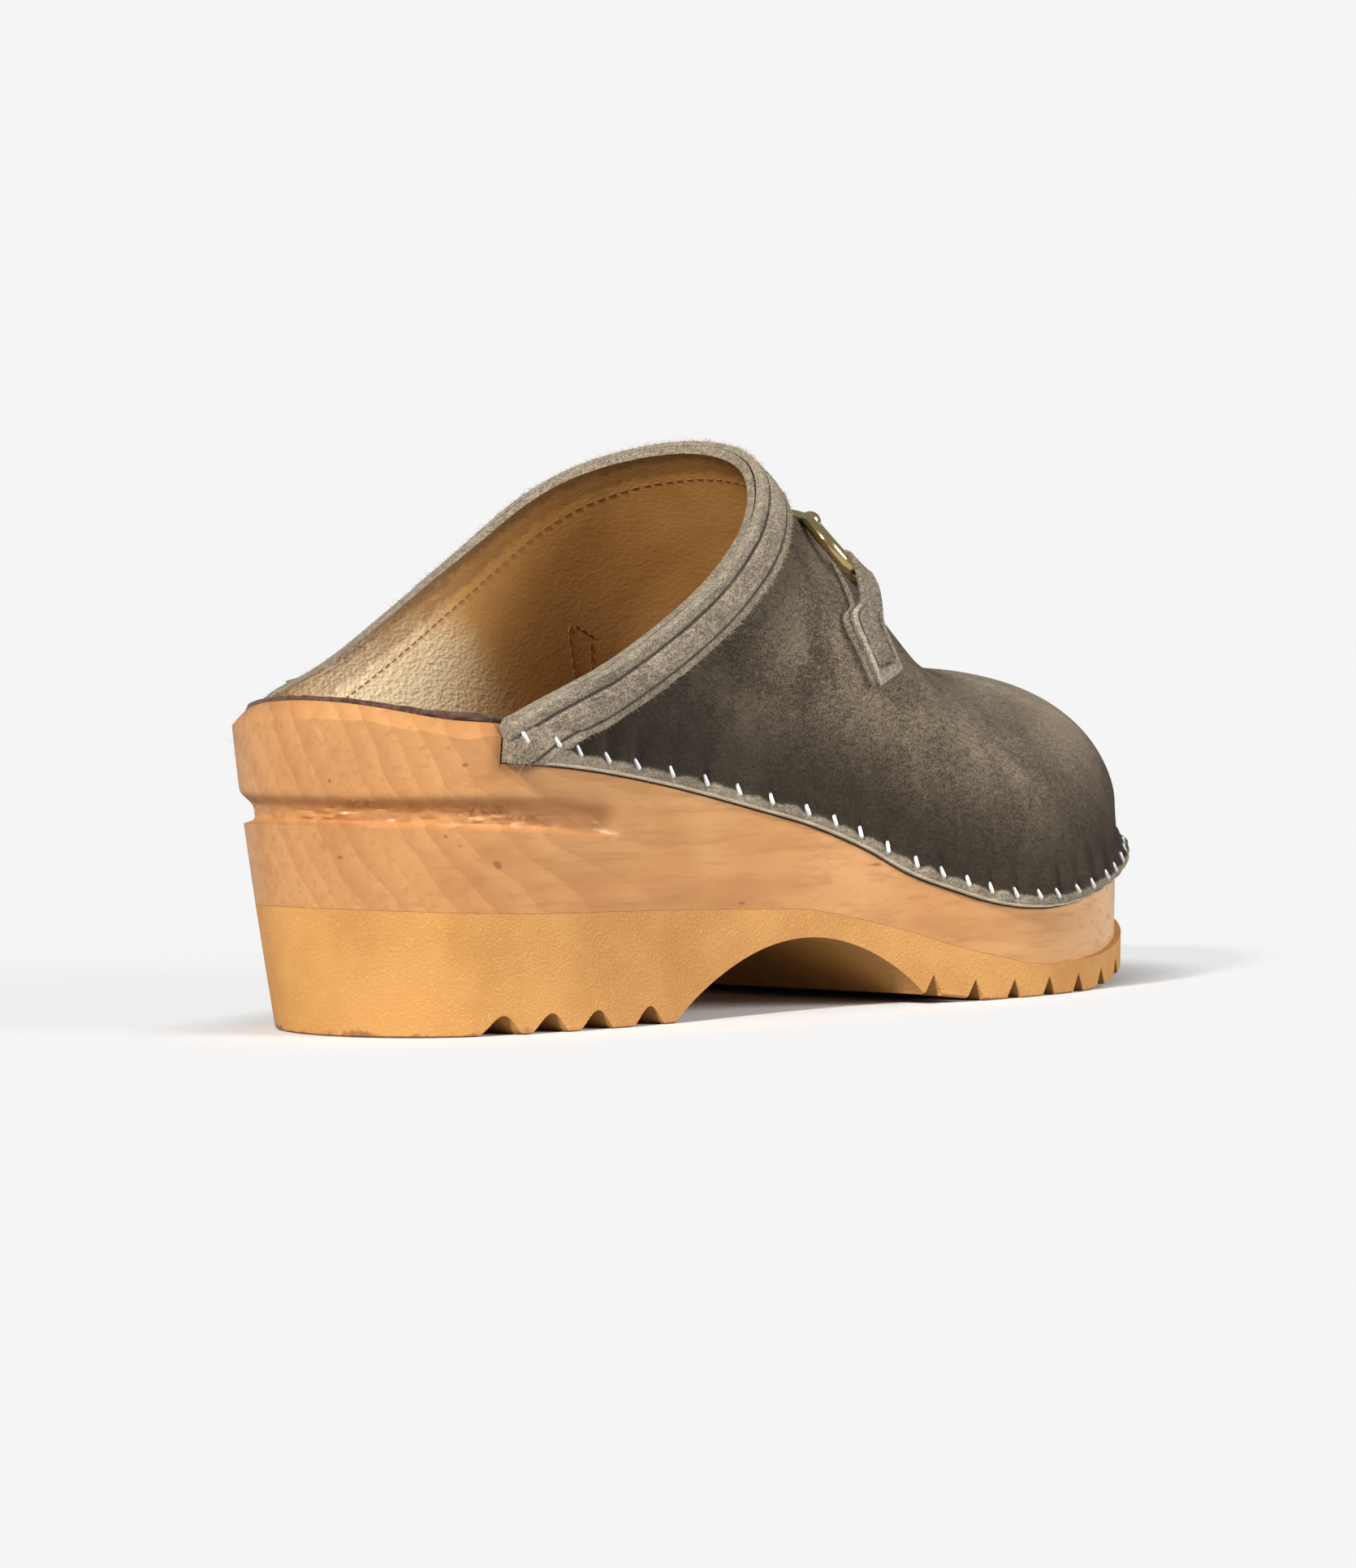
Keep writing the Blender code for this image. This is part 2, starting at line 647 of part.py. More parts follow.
def build_upper():
    """Hollow suede upper and the binding round its collar, cut from the same surface."""
    grid, inner_strip = upper_surface()
    rows, columns = grid.shape[:2]
    outer, faces, place = merged(grid.reshape(-1, 3), grid_faces(rows, columns))
    normals = point_normals(outer, faces)
    inner = outer - normals * UPPER_WALL
    for r in range(len(inner_strip)):
        for c in range(columns):
            inner[place[r * columns + c]] = inner_strip[r, c]
    points, closed = shell(outer, inner, faces)
    solid("upper", points, closed, material("taupe suede", (0.13, 0.10, 0.075), 0.95))

    in_band = set()
    for r in range(rows):
        for c in (*range(BAND_STEPS + 1), *range(columns - 1 - BAND_STEPS, columns)):
            in_band.add(place[r * columns + c])
    used = sorted(in_band)
    new = {old: i for i, old in enumerate(used)}
    band_faces = [tuple(new[v] for v in face) for face in faces if in_band.issuperset(face)]
    under = outer[used] + normals[used] * GAP
    over = outer[used] + normals[used] * (GAP + BAND_THICK)
    points, closed = shell(over, under, band_faces)
    solid("collar_band", points, closed, material("binding suede", (0.30, 0.25, 0.19), 0.95))


def bit_station():
    """X of the bit: on the ridge, BIT_AHEAD past the front edge of the binding."""
    xs = np.linspace(COLLAR_APEX, COLLAR_APEX + 4 * BAND_WIDTH, 200)
    ridge = smooth(SECTIONS, RIDGE, LENGTH, INSTEP_HEIGHT, xs)
    along = np.hypot(xs - xs[0], ridge - ridge[0])
    return float(np.interp(BAND_WIDTH + BIT_AHEAD, along, xs))


BIT_ALONG = bit_station()


def skin(x, side, reach):
    """Point of the upper's outside at x, reach down the section from the ridge, its normal and the
    direction forward along the skin. A negative reach lies on the other side of the ridge."""
    if reach < 0:
        side, reach = -side, -reach
    angles = np.linspace(math.pi / 2, 0.0, 400)
    lines = []
    for at in (x - 0.001, x, x + 0.001):
        line = section_point(np.full(400, index_at(at, side)), angles)
        along = np.concatenate([[0.0], np.cumsum(np.linalg.norm(np.diff(line, axis=0), axis=1))])
        lines.append(lambda r, a=along, l=line: np.array([np.interp(r, a, l[:, k]) for k in range(3)]))
    behind, here, ahead = lines
    forward = ahead(reach) - behind(reach)
    down = here(reach + 0.001) - here(max(reach - 0.001, 0.0))
    normal = np.cross(forward, down) * side
    return here(reach), normal / np.linalg.norm(normal), forward / np.linalg.norm(forward)


def torus(centre, axis_a, axis_b, radius, wire):
    """Closed ring mesh in the plane of two unit axes."""
    normal = np.cross(axis_a, axis_b)
    points = []
    for i in range(RING_SIDES):
        turn = 2 * math.pi * i / RING_SIDES
        out = axis_a * math.cos(turn) + axis_b * math.sin(turn)
        for j in range(TUBE_SIDES):
            spin = 2 * math.pi * j / TUBE_SIDES
            points.append(centre + out * (radius + wire * math.cos(spin)) + normal * wire * math.sin(spin))
    return np.array(points), tube_faces(RING_SIDES, True)


def tube_faces(count, closed):
    """Faces of count rings of TUBE_SIDES points, joined end to end or with flat caps."""
    faces = []
    for i in range(count if closed else count - 1):
        for j in range(TUBE_SIDES):
            a, b = i * TUBE_SIDES + j, i * TUBE_SIDES + (j + 1) % TUBE_SIDES
            c, d = (a + TUBE_SIDES) % (count * TUBE_SIDES), (b + TUBE_SIDES) % (count * TUBE_SIDES)
            faces.append((a, b, d, c))
    if not closed:
        faces.append(tuple(reversed(range(TUBE_SIDES))))
        faces.append(tuple(range((count - 1) * TUBE_SIDES, count * TUBE_SIDES)))
    return faces


def ring_frame(side):
    """Centre, the two unit axes and the radius of one side's ring of the bit."""
    ends = []
    for reach in (RING_REACH - RING_RADIUS, RING_REACH + RING_RADIUS):
        place, normal, _ = skin(BIT_ALONG, side, reach)
        ends.append(place + normal * BIT_LIFT)
    centre = (ends[0] + ends[1]) / 2
    down = ends[1] - ends[0]
    radius = np.linalg.norm(down) / 2
    down /= np.linalg.norm(down)
    forward = skin(BIT_ALONG, side, RING_REACH)[2]
    forward = forward - down * (forward @ down)
    return centre, down, forward / np.linalg.norm(forward), radius, ends


def ball(name, centre, radius, look):
    """Small sphere."""
    work = bmesh.new()
    bmesh.ops.create_icosphere(work, subdivisions=2, radius=radius)
    points = np.array([v.co for v in work.verts]) + centre
    faces = [tuple(v.index for v in face.verts) for face in work.faces]
    work.free()
    return solid(name, points, faces, look)


def build_bit(look):
    """The bit: two rings joined by a bar that follows the instep, cast in one."""
    reach = np.linspace(-(RING_REACH - RING_RADIUS), RING_REACH - RING_RADIUS, 15)
    points = []
    for r in reach:
        place, normal, forward = skin(BIT_ALONG, MEDIAL, r)
        if abs(r) < 0.001:
            normal = np.array([-forward[2], 0.0, forward[0]])
        for j in range(TUBE_SIDES):
            spin = 2 * math.pi * j / TUBE_SIDES
            up = normal * (BIT_LIFT + BAR_WIRE * math.sin(spin))
            points.append(place + up + forward * BAR_WIRE * math.cos(spin))
    bit = solid("bit", points, tube_faces(len(reach), False), look)
    for side, name in ((LATERAL, "lateral"), (MEDIAL, "medial")):
        centre, down, forward, radius, ends = ring_frame(side)
        hoop = solid("hoop_tool_" + name, *torus(centre, down, forward, radius, RING_WIRE), look)
        boolean(bit, hidden(hoop), "UNION")
        boolean(bit, hidden(ball("knob_tool_" + name, ends[0], KNOB_RADIUS, look)), "UNION")
    return bit


# Plan of a tab: share of its length from the ring, share of its width
TAB_SHAPE = (
    # along, width
    (0.00, 0.62),
    (0.16, 0.62),
    (0.40, 0.64),
    (0.54, 1.00),
    (0.76, 0.93),
    (1.00, 0.84),
)


def build_tab(name, side, look):
    """Folded suede tab: a head round the ring's lower arc and a lozenge lying on the upper."""
    centre, down, forward, radius, ends = ring_frame(side)
    start = RING_REACH + RING_RADIUS
    under = []
    over = []
    across = np.linspace(-0.5, 0.5, 5)
    for along, width in TAB_SHAPE:
        for b in across:
            x = BIT_ALONG + TAB_SLANT * along * TAB_LENGTH + b * width * TAB_WIDTH
            place, normal, _ = skin(x, side, start + along * TAB_LENGTH)
            under.append(place + normal * SKIN_GAP)
            over.append(place + normal * (SKIN_GAP + TAB_THICK))
    faces = grid_faces(len(TAB_SHAPE), len(across))
    tab = solid(name, *shell(np.array(over), np.array(under), faces), look)
    normal = skin(BIT_ALONG, side, start)[1]
    half = forward * TAB_WIDTH * TAB_SHAPE[0][1] / 2
    points = []
    for end in (-half, half):
        for j in range(TUBE_SIDES):
            spin = 2 * math.pi * j / TUBE_SIDES
            out = down * math.cos(spin) + normal * math.sin(spin)
            points.append(ends[1] + end + out * TAB_HEAD)
    head = solid("head_tool_" + name, points, tube_faces(2, False), look)
    boolean(tab, hidden(head), "UNION")
    hole = solid("hole_tool_" + name, *torus(centre, down, forward, radius, RING_WIRE + GAP), look)
    boolean(tab, hidden(hole), "DIFFERENCE")


def clear_scene():
    """Empties the file this runs in."""
    for thing in list(bpy.data.objects):
        bpy.data.objects.remove(thing, do_unlink=True)


clear_scene()
build_outsole()
build_wood()
build_insole()
build_upper()
gold = material("pale gold metal", (0.80, 0.62, 0.30), 0.25, 1.0)
build_bit(gold)
tab_suede = material("tab suede", (0.22, 0.18, 0.13), 0.95)
build_tab("tab_lateral", LATERAL, tab_suede)
build_tab("tab_medial", MEDIAL, tab_suede)
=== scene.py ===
import math

import bmesh
import bpy
import numpy as np
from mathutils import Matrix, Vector


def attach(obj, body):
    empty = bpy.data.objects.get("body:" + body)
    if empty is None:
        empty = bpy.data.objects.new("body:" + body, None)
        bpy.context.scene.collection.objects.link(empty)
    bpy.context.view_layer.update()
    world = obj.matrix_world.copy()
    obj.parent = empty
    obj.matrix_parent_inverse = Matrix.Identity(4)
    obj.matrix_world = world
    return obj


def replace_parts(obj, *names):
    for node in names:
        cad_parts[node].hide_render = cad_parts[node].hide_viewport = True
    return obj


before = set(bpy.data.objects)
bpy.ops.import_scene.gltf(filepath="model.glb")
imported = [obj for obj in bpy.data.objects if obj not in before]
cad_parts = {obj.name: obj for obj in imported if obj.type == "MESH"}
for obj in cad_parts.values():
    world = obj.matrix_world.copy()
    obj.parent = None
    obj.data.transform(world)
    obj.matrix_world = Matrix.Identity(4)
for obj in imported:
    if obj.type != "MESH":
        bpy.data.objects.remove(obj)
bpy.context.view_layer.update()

# Photographer's table, light and camera
# The clog stands on plain pale paper that runs to a pale wall; away from the shoe its cast shadow is lifted
# by painted light that only the camera sees. A sun-like lamp behind the heel rakes along its outer side, a
# wide soft one fills that side from the toe, and a weak even light comes from all round. The camera is near
# the floor, behind the heel.

PAPER = (0.913, 0.913, 0.913, 1.0)
TABLE_SEEN = (0.793, 0.812, 0.843, 1.0)
TABLE_LIT = (0.42, 0.42, 0.42, 1.0)
SHOE_MIDDLE = (0.086, 0.0, 0.0)
SHOE_HALF = (0.134, 0.052, 1.0)
SHADE_LIFT = 0.78
SHADE_IN = 0.98
SHADE_OUT = 1.30
TABLE_HALF = 9.0
CAMERA_PLACE = (-0.8765, -0.7338, 0.087)
CAMERA_TURN = math.radians(-52.33)
CAMERA_PITCH = math.radians(-1.95)
CAMERA_LENS = 131.43
LAMPS = {
    # name: where it stands as seen from the shoe, strength, softness in degrees, colour
    "low_key": ((-0.92, -0.13, 0.54), 4.0, 6.0, (1.0, 0.96, 0.90)),
    "side_fill": ((0.30, -1.0, 0.50), 2.2, 30.0, (1.0, 0.98, 0.95)),
}
AMBIENT = 0.22
HEEL_MIDDLE = 0.0470


def node(tree, kind, inputs=None, **settings):
    """One shader node: settings are its own options, inputs its sockets' values or what feeds them."""
    made = tree.nodes.new(kind)
    for name, value in settings.items():
        setattr(made, name, value)
    for name, value in (inputs or {}).items():
        if isinstance(value, bpy.types.NodeSocket):
            tree.links.new(value, made.inputs[name])
        else:
            made.inputs[name].default_value = value
    return made


def new_finish(name, **sockets):
    """A material whose Principled shader's plain sockets are given by name, its node tree, and the
    piece's own coordinates there."""
    made = bpy.data.materials.new(name)
    made.use_nodes = True
    shader = made.node_tree.nodes["Principled BSDF"]
    for socket, value in sockets.items():
        shader.inputs[socket.replace("_", " ")].default_value = value
    return made, made.node_tree, node(made.node_tree, "ShaderNodeTexCoord").outputs["Object"]


def dress(made, colour, normal=None, roughness=None):
    """Feeds a material's shader its colour and, where given, its normal and roughness."""
    tree = made.node_tree
    for socket, value in (("Base Color", colour), ("Normal", normal), ("Roughness", roughness)):
        if value is not None:
            tree.links.new(value, tree.nodes["Principled BSDF"].inputs[socket])
    return made


def put_mesh(name, points, faces, finishes, face_finish=None, sharp=40.0):
    """An object at the origin from arrays of points and triangles, moved so that the heel's middle
    is the origin, with its faces turned outwards."""
    mesh = bpy.data.meshes.new(name)
    placed = np.array(points, float) - [HEEL_MIDDLE, 0.0, 0.0]
    mesh.from_pydata(placed, [], np.asarray(faces).tolist())
    if face_finish is not None:
        mesh.polygons.foreach_set("material_index", np.asarray(face_finish, np.int32))
    work = bmesh.new()
    work.from_mesh(mesh)
    bmesh.ops.recalc_face_normals(work, faces=work.faces)
    work.to_mesh(mesh)
    work.free()
    mesh.shade_smooth()
    mesh.set_sharp_from_angle(angle=math.radians(sharp))
    for finish in finishes:
        mesh.materials.append(finish)
    made = bpy.data.objects.new(name, mesh)
    bpy.context.scene.collection.objects.link(made)
    return made


scene = bpy.context.scene
scene.view_settings.view_transform = "Standard"

table_finish, tree, place = new_finish("table_paper", Roughness=0.9, Specular_IOR_Level=0.0)
seen = node(tree, "ShaderNodeLightPath").outputs["Is Camera Ray"]
tone = node(tree, "ShaderNodeMix", {0: seen, 6: TABLE_LIT, 7: TABLE_SEEN}, data_type="RGBA").outputs[2]
dress(table_finish, tone)
# Painted light: away from the shoe's footprint the camera sees the paper mixed with a glow, which lifts the
# paper's cast shadow there.
apart = node(tree, "ShaderNodeVectorMath", {0: place, 1: SHOE_MIDDLE}, operation="SUBTRACT").outputs[0]
reach = node(tree, "ShaderNodeVectorMath", {0: apart, 1: SHOE_HALF}, operation="DIVIDE").outputs[0]
reach = node(tree, "ShaderNodeVectorMath", {0: reach}, operation="LENGTH").outputs["Value"]
clear = node(tree, "ShaderNodeMapRange", {0: reach, 1: SHADE_IN, 2: SHADE_OUT, 3: 0.0, 4: SHADE_LIFT},
             interpolation_type="SMOOTHSTEP").outputs[0]
clear = node(tree, "ShaderNodeMath", {0: clear, 1: seen}, operation="MULTIPLY").outputs[0]
painted_light_glow = node(tree, "ShaderNodeEmission", {"Color": PAPER})
paper_skin = tree.nodes["Principled BSDF"].outputs[0]
lifted = node(tree, "ShaderNodeMixShader", {0: clear, 1: paper_skin, 2: painted_light_glow.outputs[0]})
tree.links.new(lifted.outputs[0], tree.nodes["Material Output"].inputs["Surface"])
corners = [(TABLE_HALF * a, TABLE_HALF * b, 0) for a, b in ((-1, -1), (1, -1), (1, 1), (-1, 1))]
table = put_mesh("table", corners, [(0, 1, 2, 3)], [table_finish])

for name, (stand, strength, softness, colour) in LAMPS.items():
    lamp = bpy.data.lights.new(name, "SUN")
    lamp.energy = strength
    lamp.angle = math.radians(softness)
    lamp.color = colour
    holder = bpy.data.objects.new(name, lamp)
    holder.rotation_mode = "QUATERNION"
    holder.rotation_quaternion = Vector(stand).to_track_quat("Z", "Y")
    scene.collection.objects.link(holder)

world = bpy.data.worlds.new("pale_room")
world.use_nodes = True
tree = world.node_tree
back = tree.nodes["Background"]
seen = node(tree, "ShaderNodeLightPath").outputs["Is Camera Ray"]
paper = node(tree, "ShaderNodeBackground", {"Color": PAPER, "Strength": 1.0})
back.inputs["Color"].default_value = (0.95, 0.97, 1.0, 1.0)
back.inputs["Strength"].default_value = AMBIENT
both = node(tree, "ShaderNodeMixShader", {0: seen, 1: back.outputs[0], 2: paper.outputs[0]})
tree.links.new(both.outputs[0], tree.nodes["World Output"].inputs["Surface"])
scene.world = world

camera = bpy.data.objects.new("camera", bpy.data.cameras.new("camera"))
camera.location = CAMERA_PLACE
camera.data.lens = CAMERA_LENS
camera.data.clip_start = 0.05
camera.data.clip_end = 50.0
camera.rotation_mode = "QUATERNION"
level_ahead = math.cos(CAMERA_PITCH)
ahead = Vector((-math.sin(CAMERA_TURN) * level_ahead, math.cos(CAMERA_TURN) * level_ahead,
                math.sin(CAMERA_PITCH)))
camera.rotation_quaternion = ahead.to_track_quat("-Z", "Y")
scene.collection.objects.link(camera)
scene.camera = camera

# Wooden sole
# One block of alder, carved and sanded, with a cove groove round the heel, a bevelled top edge, a
# rebate for the leather's edge and a dished bed. Clear satin finish over growth rings and pin knots.

LENGTH = 0.262
BALL_WIDTH = 0.0952
HEEL_HEIGHT = 0.0655
TOE_TIP_SIDE = 0.005
TOE_CENTRE = 0.7824 * LENGTH
COLLAR_START = 0.0931 * LENGTH
HEEL_LEAN = 0.009
LEAN_TOP = 0.0610
LEAN_POWER = 1.2
LEAN_REACH = 0.075
FORE_LEAN_SHARE = 0.08
CHAMFER_DROP = 0.0030
CHAMFER_INSET = 0.0022
CHAMFER_ROUGH = 0.0004
HIDDEN_BEVEL = 0.0012
GROOVE_TOP = 0.0475
GROOVE_LEDGE = 0.0450
GROOVE_SLOPE = 0.0055
GROOVE_DEPTH = 0.0024
GROOVE_END = 0.060
GROOVE_FADE = 0.010
GROOVE_ROUGH = 0.00016
FOOTBED_DISH = 0.0035
FOOTBED_RIM = 0.003
UPPER_WALL = 0.0022
UPPER_PROUD = 0.0008
GAP = 0.0003
OUTLINE_SAMPLES = 1600

# Outline of the sole in plan: shares of LENGTH, then of BALL_WIDTH
OUTLINE = (
    # along, lateral, medial
    (0.015, 0.168, 0.178),
    (0.053, 0.289, 0.300),
    (0.130, 0.355, 0.352),
    (0.229, 0.362, 0.347),
    (0.363, 0.373, 0.344),
    (0.496, 0.425, 0.394),
    (0.611, 0.488, 0.455),
    (0.695, 0.515, 0.485),
    (0.779, 0.494, 0.479),
    (0.859, 0.425, 0.439),
    (0.927, 0.305, 0.352),
    (0.977, 0.137, 0.221),
)

# Heights along the side: shares of LENGTH, then of HEEL_HEIGHT
LEVELS = (
    # along, wood to rubber, leather's lower edge, wood's top edge
    (0.000, 0.389, 0.832, 1.000),
    (0.046, 0.379, 0.825, 0.950),
    (0.095, 0.369, 0.817, 0.932),
    (0.267, 0.351, 0.737, 0.861),
    (0.378, 0.336, 0.649, 0.774),
    (0.450, 0.321, 0.580, 0.702),
    (0.504, 0.282, 0.504, 0.626),
    (0.546, 0.244, 0.427, 0.555),
    (0.603, 0.183, 0.356, 0.480),
    (0.637, 0.153, 0.321, 0.445),
    (0.706, 0.107, 0.290, 0.415),
    (0.779, 0.107, 0.310, 0.436),
    (0.844, 0.134, 0.358, 0.482),
    (0.916, 0.180, 0.418, 0.540),
    (1.000, 0.255, 0.480, 0.605),
)
JUNCTION, LEATHER, RIM = range(1, 4)
LATERAL, MEDIAL = -1, 1


def smooth(table, column, scale_in, scale_out, at):
    """Cubic through one column of a table: between two rows the heights and the slopes of both
    are mixed by the usual cubic weights."""
    rows = np.array(table)
    xs = rows[:, 0] * scale_in
    ys = rows[:, column] * scale_out
    slope = np.gradient(ys, xs)
    at = np.clip(at, xs[0], xs[-1])
    i = np.clip(np.searchsorted(xs, at) - 1, 0, len(xs) - 2)
    step = xs[i + 1] - xs[i]
    t = (at - xs[i]) / step
    rise = 3 * t**2 - 2 * t**3
    bend = (t**3 - 2 * t**2 + t) * slope[i] + (t**3 - t**2) * slope[i + 1]
    return ys[i] * (1 - rise) + ys[i + 1] * rise + bend * step


def unit(vectors):
    """The same directions, each with length one."""
    return vectors / np.linalg.norm(vectors, axis=-1, keepdims=True)


def closed_curve(points, count):
    """Closed cubic spline through the points, whose slopes solve one ring of equations, and its
    unit tangents."""
    ends = np.roll(points, -1, axis=0)
    chord = np.linalg.norm(ends - points, axis=1)
    size = len(points)
    before, after = np.roll(chord, 1), chord
    here = np.arange(size)
    matrix = np.zeros((size, size))
    matrix[here, here - 1] = after
    matrix[here, here] = 2 * (before + after)
    matrix[here, (here + 1) % size] = before
    arrive = (points - np.roll(points, 1, axis=0)) * (after / before)[:, None]
    leave = (ends - points) * (before / after)[:, None]
    slopes = np.linalg.solve(matrix, 3 * (arrive + leave))
    starts = np.concatenate([[0.0], np.cumsum(chord)])
    along = np.linspace(0.0, starts[-1], count, endpoint=False)
    i = np.searchsorted(starts, along, side="right") - 1
    t = ((along - starts[i]) / chord[i])[:, None]
    a, b = points[i], ends[i]
    sa, sb = slopes[i] * chord[i][:, None], slopes[(i + 1) % size] * chord[i][:, None]
    place = a + (b - a) * (3 * t**2 - 2 * t**3) + sa * (t**3 - 2 * t**2 + t) + sb * (t**3 - t**2)
    tangent = (b - a) * (6 * t - 6 * t**2) + sa * (3 * t**2 - 4 * t + 1) + sb * (3 * t**2 - 2 * t)
    return place, unit(tangent)


rows = np.array(OUTLINE)
lateral_line = np.column_stack([rows[:, 0] * LENGTH, -rows[:, 1] * BALL_WIDTH])
medial_line = np.column_stack([rows[:, 0] * LENGTH, rows[:, 2] * BALL_WIDTH])[::-1]
outline_knots = np.vstack([[0.0, 0.0], lateral_line, [LENGTH, TOE_TIP_SIDE], medial_line])
OUT_PLACE, outline_tangent = closed_curve(outline_knots, OUTLINE_SAMPLES)
OUT_NORMAL = np.column_stack([outline_tangent[:, 1], -outline_tangent[:, 0]])
TOE_INDEX = int(np.argmax(OUT_PLACE[:, 0]))


def index_at(x, side):
    """Fractional index into the dense outline where it passes x on one side."""
    if side == LATERAL:
        return np.interp(x, OUT_PLACE[:TOE_INDEX + 1, 0], np.arange(TOE_INDEX + 1))
    xs = np.append(OUT_PLACE[TOE_INDEX:, 0], OUT_PLACE[0, 0])[::-1]
    return np.interp(x, xs, np.arange(TOE_INDEX, OUTLINE_SAMPLES + 1)[::-1])


def outline_point(index, offset=0.0):
    """Point of the outline pushed out along its normal by offset."""
    index = np.asarray(index, float)
    low = np.floor(index).astype(int)
    t = (index - low)[..., None]
    a, b = low % OUTLINE_SAMPLES, (low + 1) % OUTLINE_SAMPLES
    place = OUT_PLACE[a] * (1 - t) + OUT_PLACE[b] * t
    normal = OUT_NORMAL[a] * (1 - t) + OUT_NORMAL[b] * t
    normal = unit(normal)
    return place + normal * np.asarray(offset)[..., None]


def level(x, column):
    """Height of one of the side's lines at x."""
    return smooth(LEVELS, column, LENGTH, HEEL_HEIGHT, x)


def ramp(x, start, end):
    """Soft 0 to 1 between start and end: three times the square less twice the cube."""
    t = np.clip((x - start) / (end - start), 0.0, 1.0)
    return t * t * (3 - 2 * t)


def hump(x, middle, half):
    """Soft bump of height one about its middle: e to minus the square of the distance over half."""
    return np.exp(-((x - middle) / half)**2)


def lean_inset(x, z):
    """How far the sole's side stands in from the outline at height z: the heel narrows downwards,
    by a power of the share of the way down."""
    weight = 1 - (1 - FORE_LEAN_SHARE) * ramp(x, 0.0, LEAN_REACH)
    return HEEL_LEAN * weight * np.clip(1 - z / LEAN_TOP, 0.0, 1.0)**LEAN_POWER


def sole_spokes(side_steps, toe_steps, heel_steps):
    """Outline index of each spoke round the sole, its foot on the middle line, and whether it is at
    the bare heel. The wood steps in between the last bare spoke and the first one under leather."""
    last_bare = COLLAR_START - 0.0006
    side_x = np.linspace(COLLAR_START - GAP, TOE_CENTRE, side_steps + 1)
    toe = np.linspace(index_at(TOE_CENTRE, LATERAL), index_at(TOE_CENTRE, MEDIAL), toe_steps + 1)[1:-1]
    heel_end = index_at(last_bare, LATERAL) + OUTLINE_SAMPLES
    heel = np.linspace(index_at(last_bare, MEDIAL), heel_end, heel_steps + 1)
    index = np.concatenate([index_at(side_x, LATERAL), toe, index_at(side_x[::-1], MEDIAL), heel])
    station = np.clip(outline_point(index)[:, 0], last_bare, TOE_CENTRE)
    middle = (outline_point(index_at(station, LATERAL)) + outline_point(index_at(station, MEDIAL))) / 2
    bare = np.arange(len(index)) >= len(index) - len(heel)
    return index, middle, bare


SPOKES, SPOKE_FEET, BARE = sole_spokes(side_steps=170, toe_steps=110, heel_steps=90)
SPOKE_X = outline_point(SPOKES)[:, 0]
REBATE = np.where(BARE, 0.0, UPPER_WALL - UPPER_PROUD + GAP)


def ring(inset, height, share=0.0):
    """One ring of the sole: the outline set in, then drawn a share of the way to the middle line.
    height is the ring's own heights, or a function of x."""
    plan = outline_point(SPOKES, -np.broadcast_to(inset, SPOKE_X.shape))
    plan = plan * (1 - share) + SPOKE_FEET * share
    if callable(height):
        height = height(plan[:, 0])
    return np.column_stack([plan, np.broadcast_to(height, SPOKE_X.shape)])


def joined(points, faces):
    """Joins coincident points and drops the triangles that they close. Returns points and faces."""
    keys = np.round(np.asarray(points) / 2e-6).astype(np.int64)
    _, first, new = np.unique(keys, axis=0, return_index=True, return_inverse=True)
    faces = new.reshape(-1)[np.asarray(faces)]
    a, b, c = faces.T
    return np.asarray(points)[first], faces[(a != b) & (b != c) & (c != a)], new.reshape(-1)


def grid_triangles(rows, columns, closed=False):
    """Triangles of a rows by columns grid, all cut along one diagonal; closed joins the last column
    to the first."""
    r = np.arange(rows - 1)[:, None]
    c = np.arange(columns if closed else columns - 1)[None, :]
    a = r * columns + c
    b = r * columns + (c + 1) % columns
    quads = np.stack([a, b, b + columns, a + columns], axis=-1).reshape(-1, 4)
    return np.concatenate([quads[:, [0, 1, 2]], quads[:, [0, 2, 3]]])


def ring_body(rings):
    """Closed body of rings that run from the underside's middle to the top's middle."""
    points = np.vstack(rings)
    place, faces, _ = joined(points, grid_triangles(len(rings), len(SPOKES), closed=True))
    return place, faces


def bed_ring(share, lift):
    """Ring of the dished footbed: share 0 at its edge, 1 on the middle line; a quarter sine deep."""
    dish = FOOTBED_DISH * math.sin(share * math.pi / 2)
    return ring(REBATE + FOOTBED_RIM, lambda x: level(x, RIM) - dish + lift, share)


def junction_rings(inset, drop):
    """Rings of the seam between wood and rubber, from the middle line out."""
    return [ring(inset, lambda x: level(x, JUNCTION) - drop, share) for share in (1.0, 0.5, 0.0)]


def wander(count, reach, seed):
    """A closed random line of count values, smoothed over reach neighbours, about 1 in size."""
    chance = np.random.default_rng(seed).normal(size=count)
    kernel = np.hanning(reach + 2)[1:-1]
    line = np.convolve(np.concatenate([chance, chance[:reach]]), kernel / kernel.sum(), "valid")[:count]
    return line / line.std()


BED_SHARES = (0.0, 0.06, 0.15, 0.3, 0.5, 0.75, 1.0)
low = level(SPOKE_X, JUNCTION)
rim = level(SPOKE_X, RIM)
leather = level(SPOKE_X, LEATHER) - GAP
fade = 1 - ramp(SPOKE_X, GROOVE_END - GROOVE_FADE, GROOVE_END)
ledge = GROOVE_LEDGE - GROOVE_SLOPE * ramp(SPOKE_X, 0.0, GROOVE_END)
ledge = np.minimum(ledge, low + (leather - low) * 0.55)
crest = np.minimum(GROOVE_TOP, low + (leather - low) * 0.80)
wood_rings = junction_rings(lean_inset(SPOKE_X, low), 0.0)
for share in np.linspace(0.0, 1.0, 12)[1:]:
    height = low + (ledge - low) * share
    wood_rings.append(ring(lean_inset(SPOKE_X, height), height))
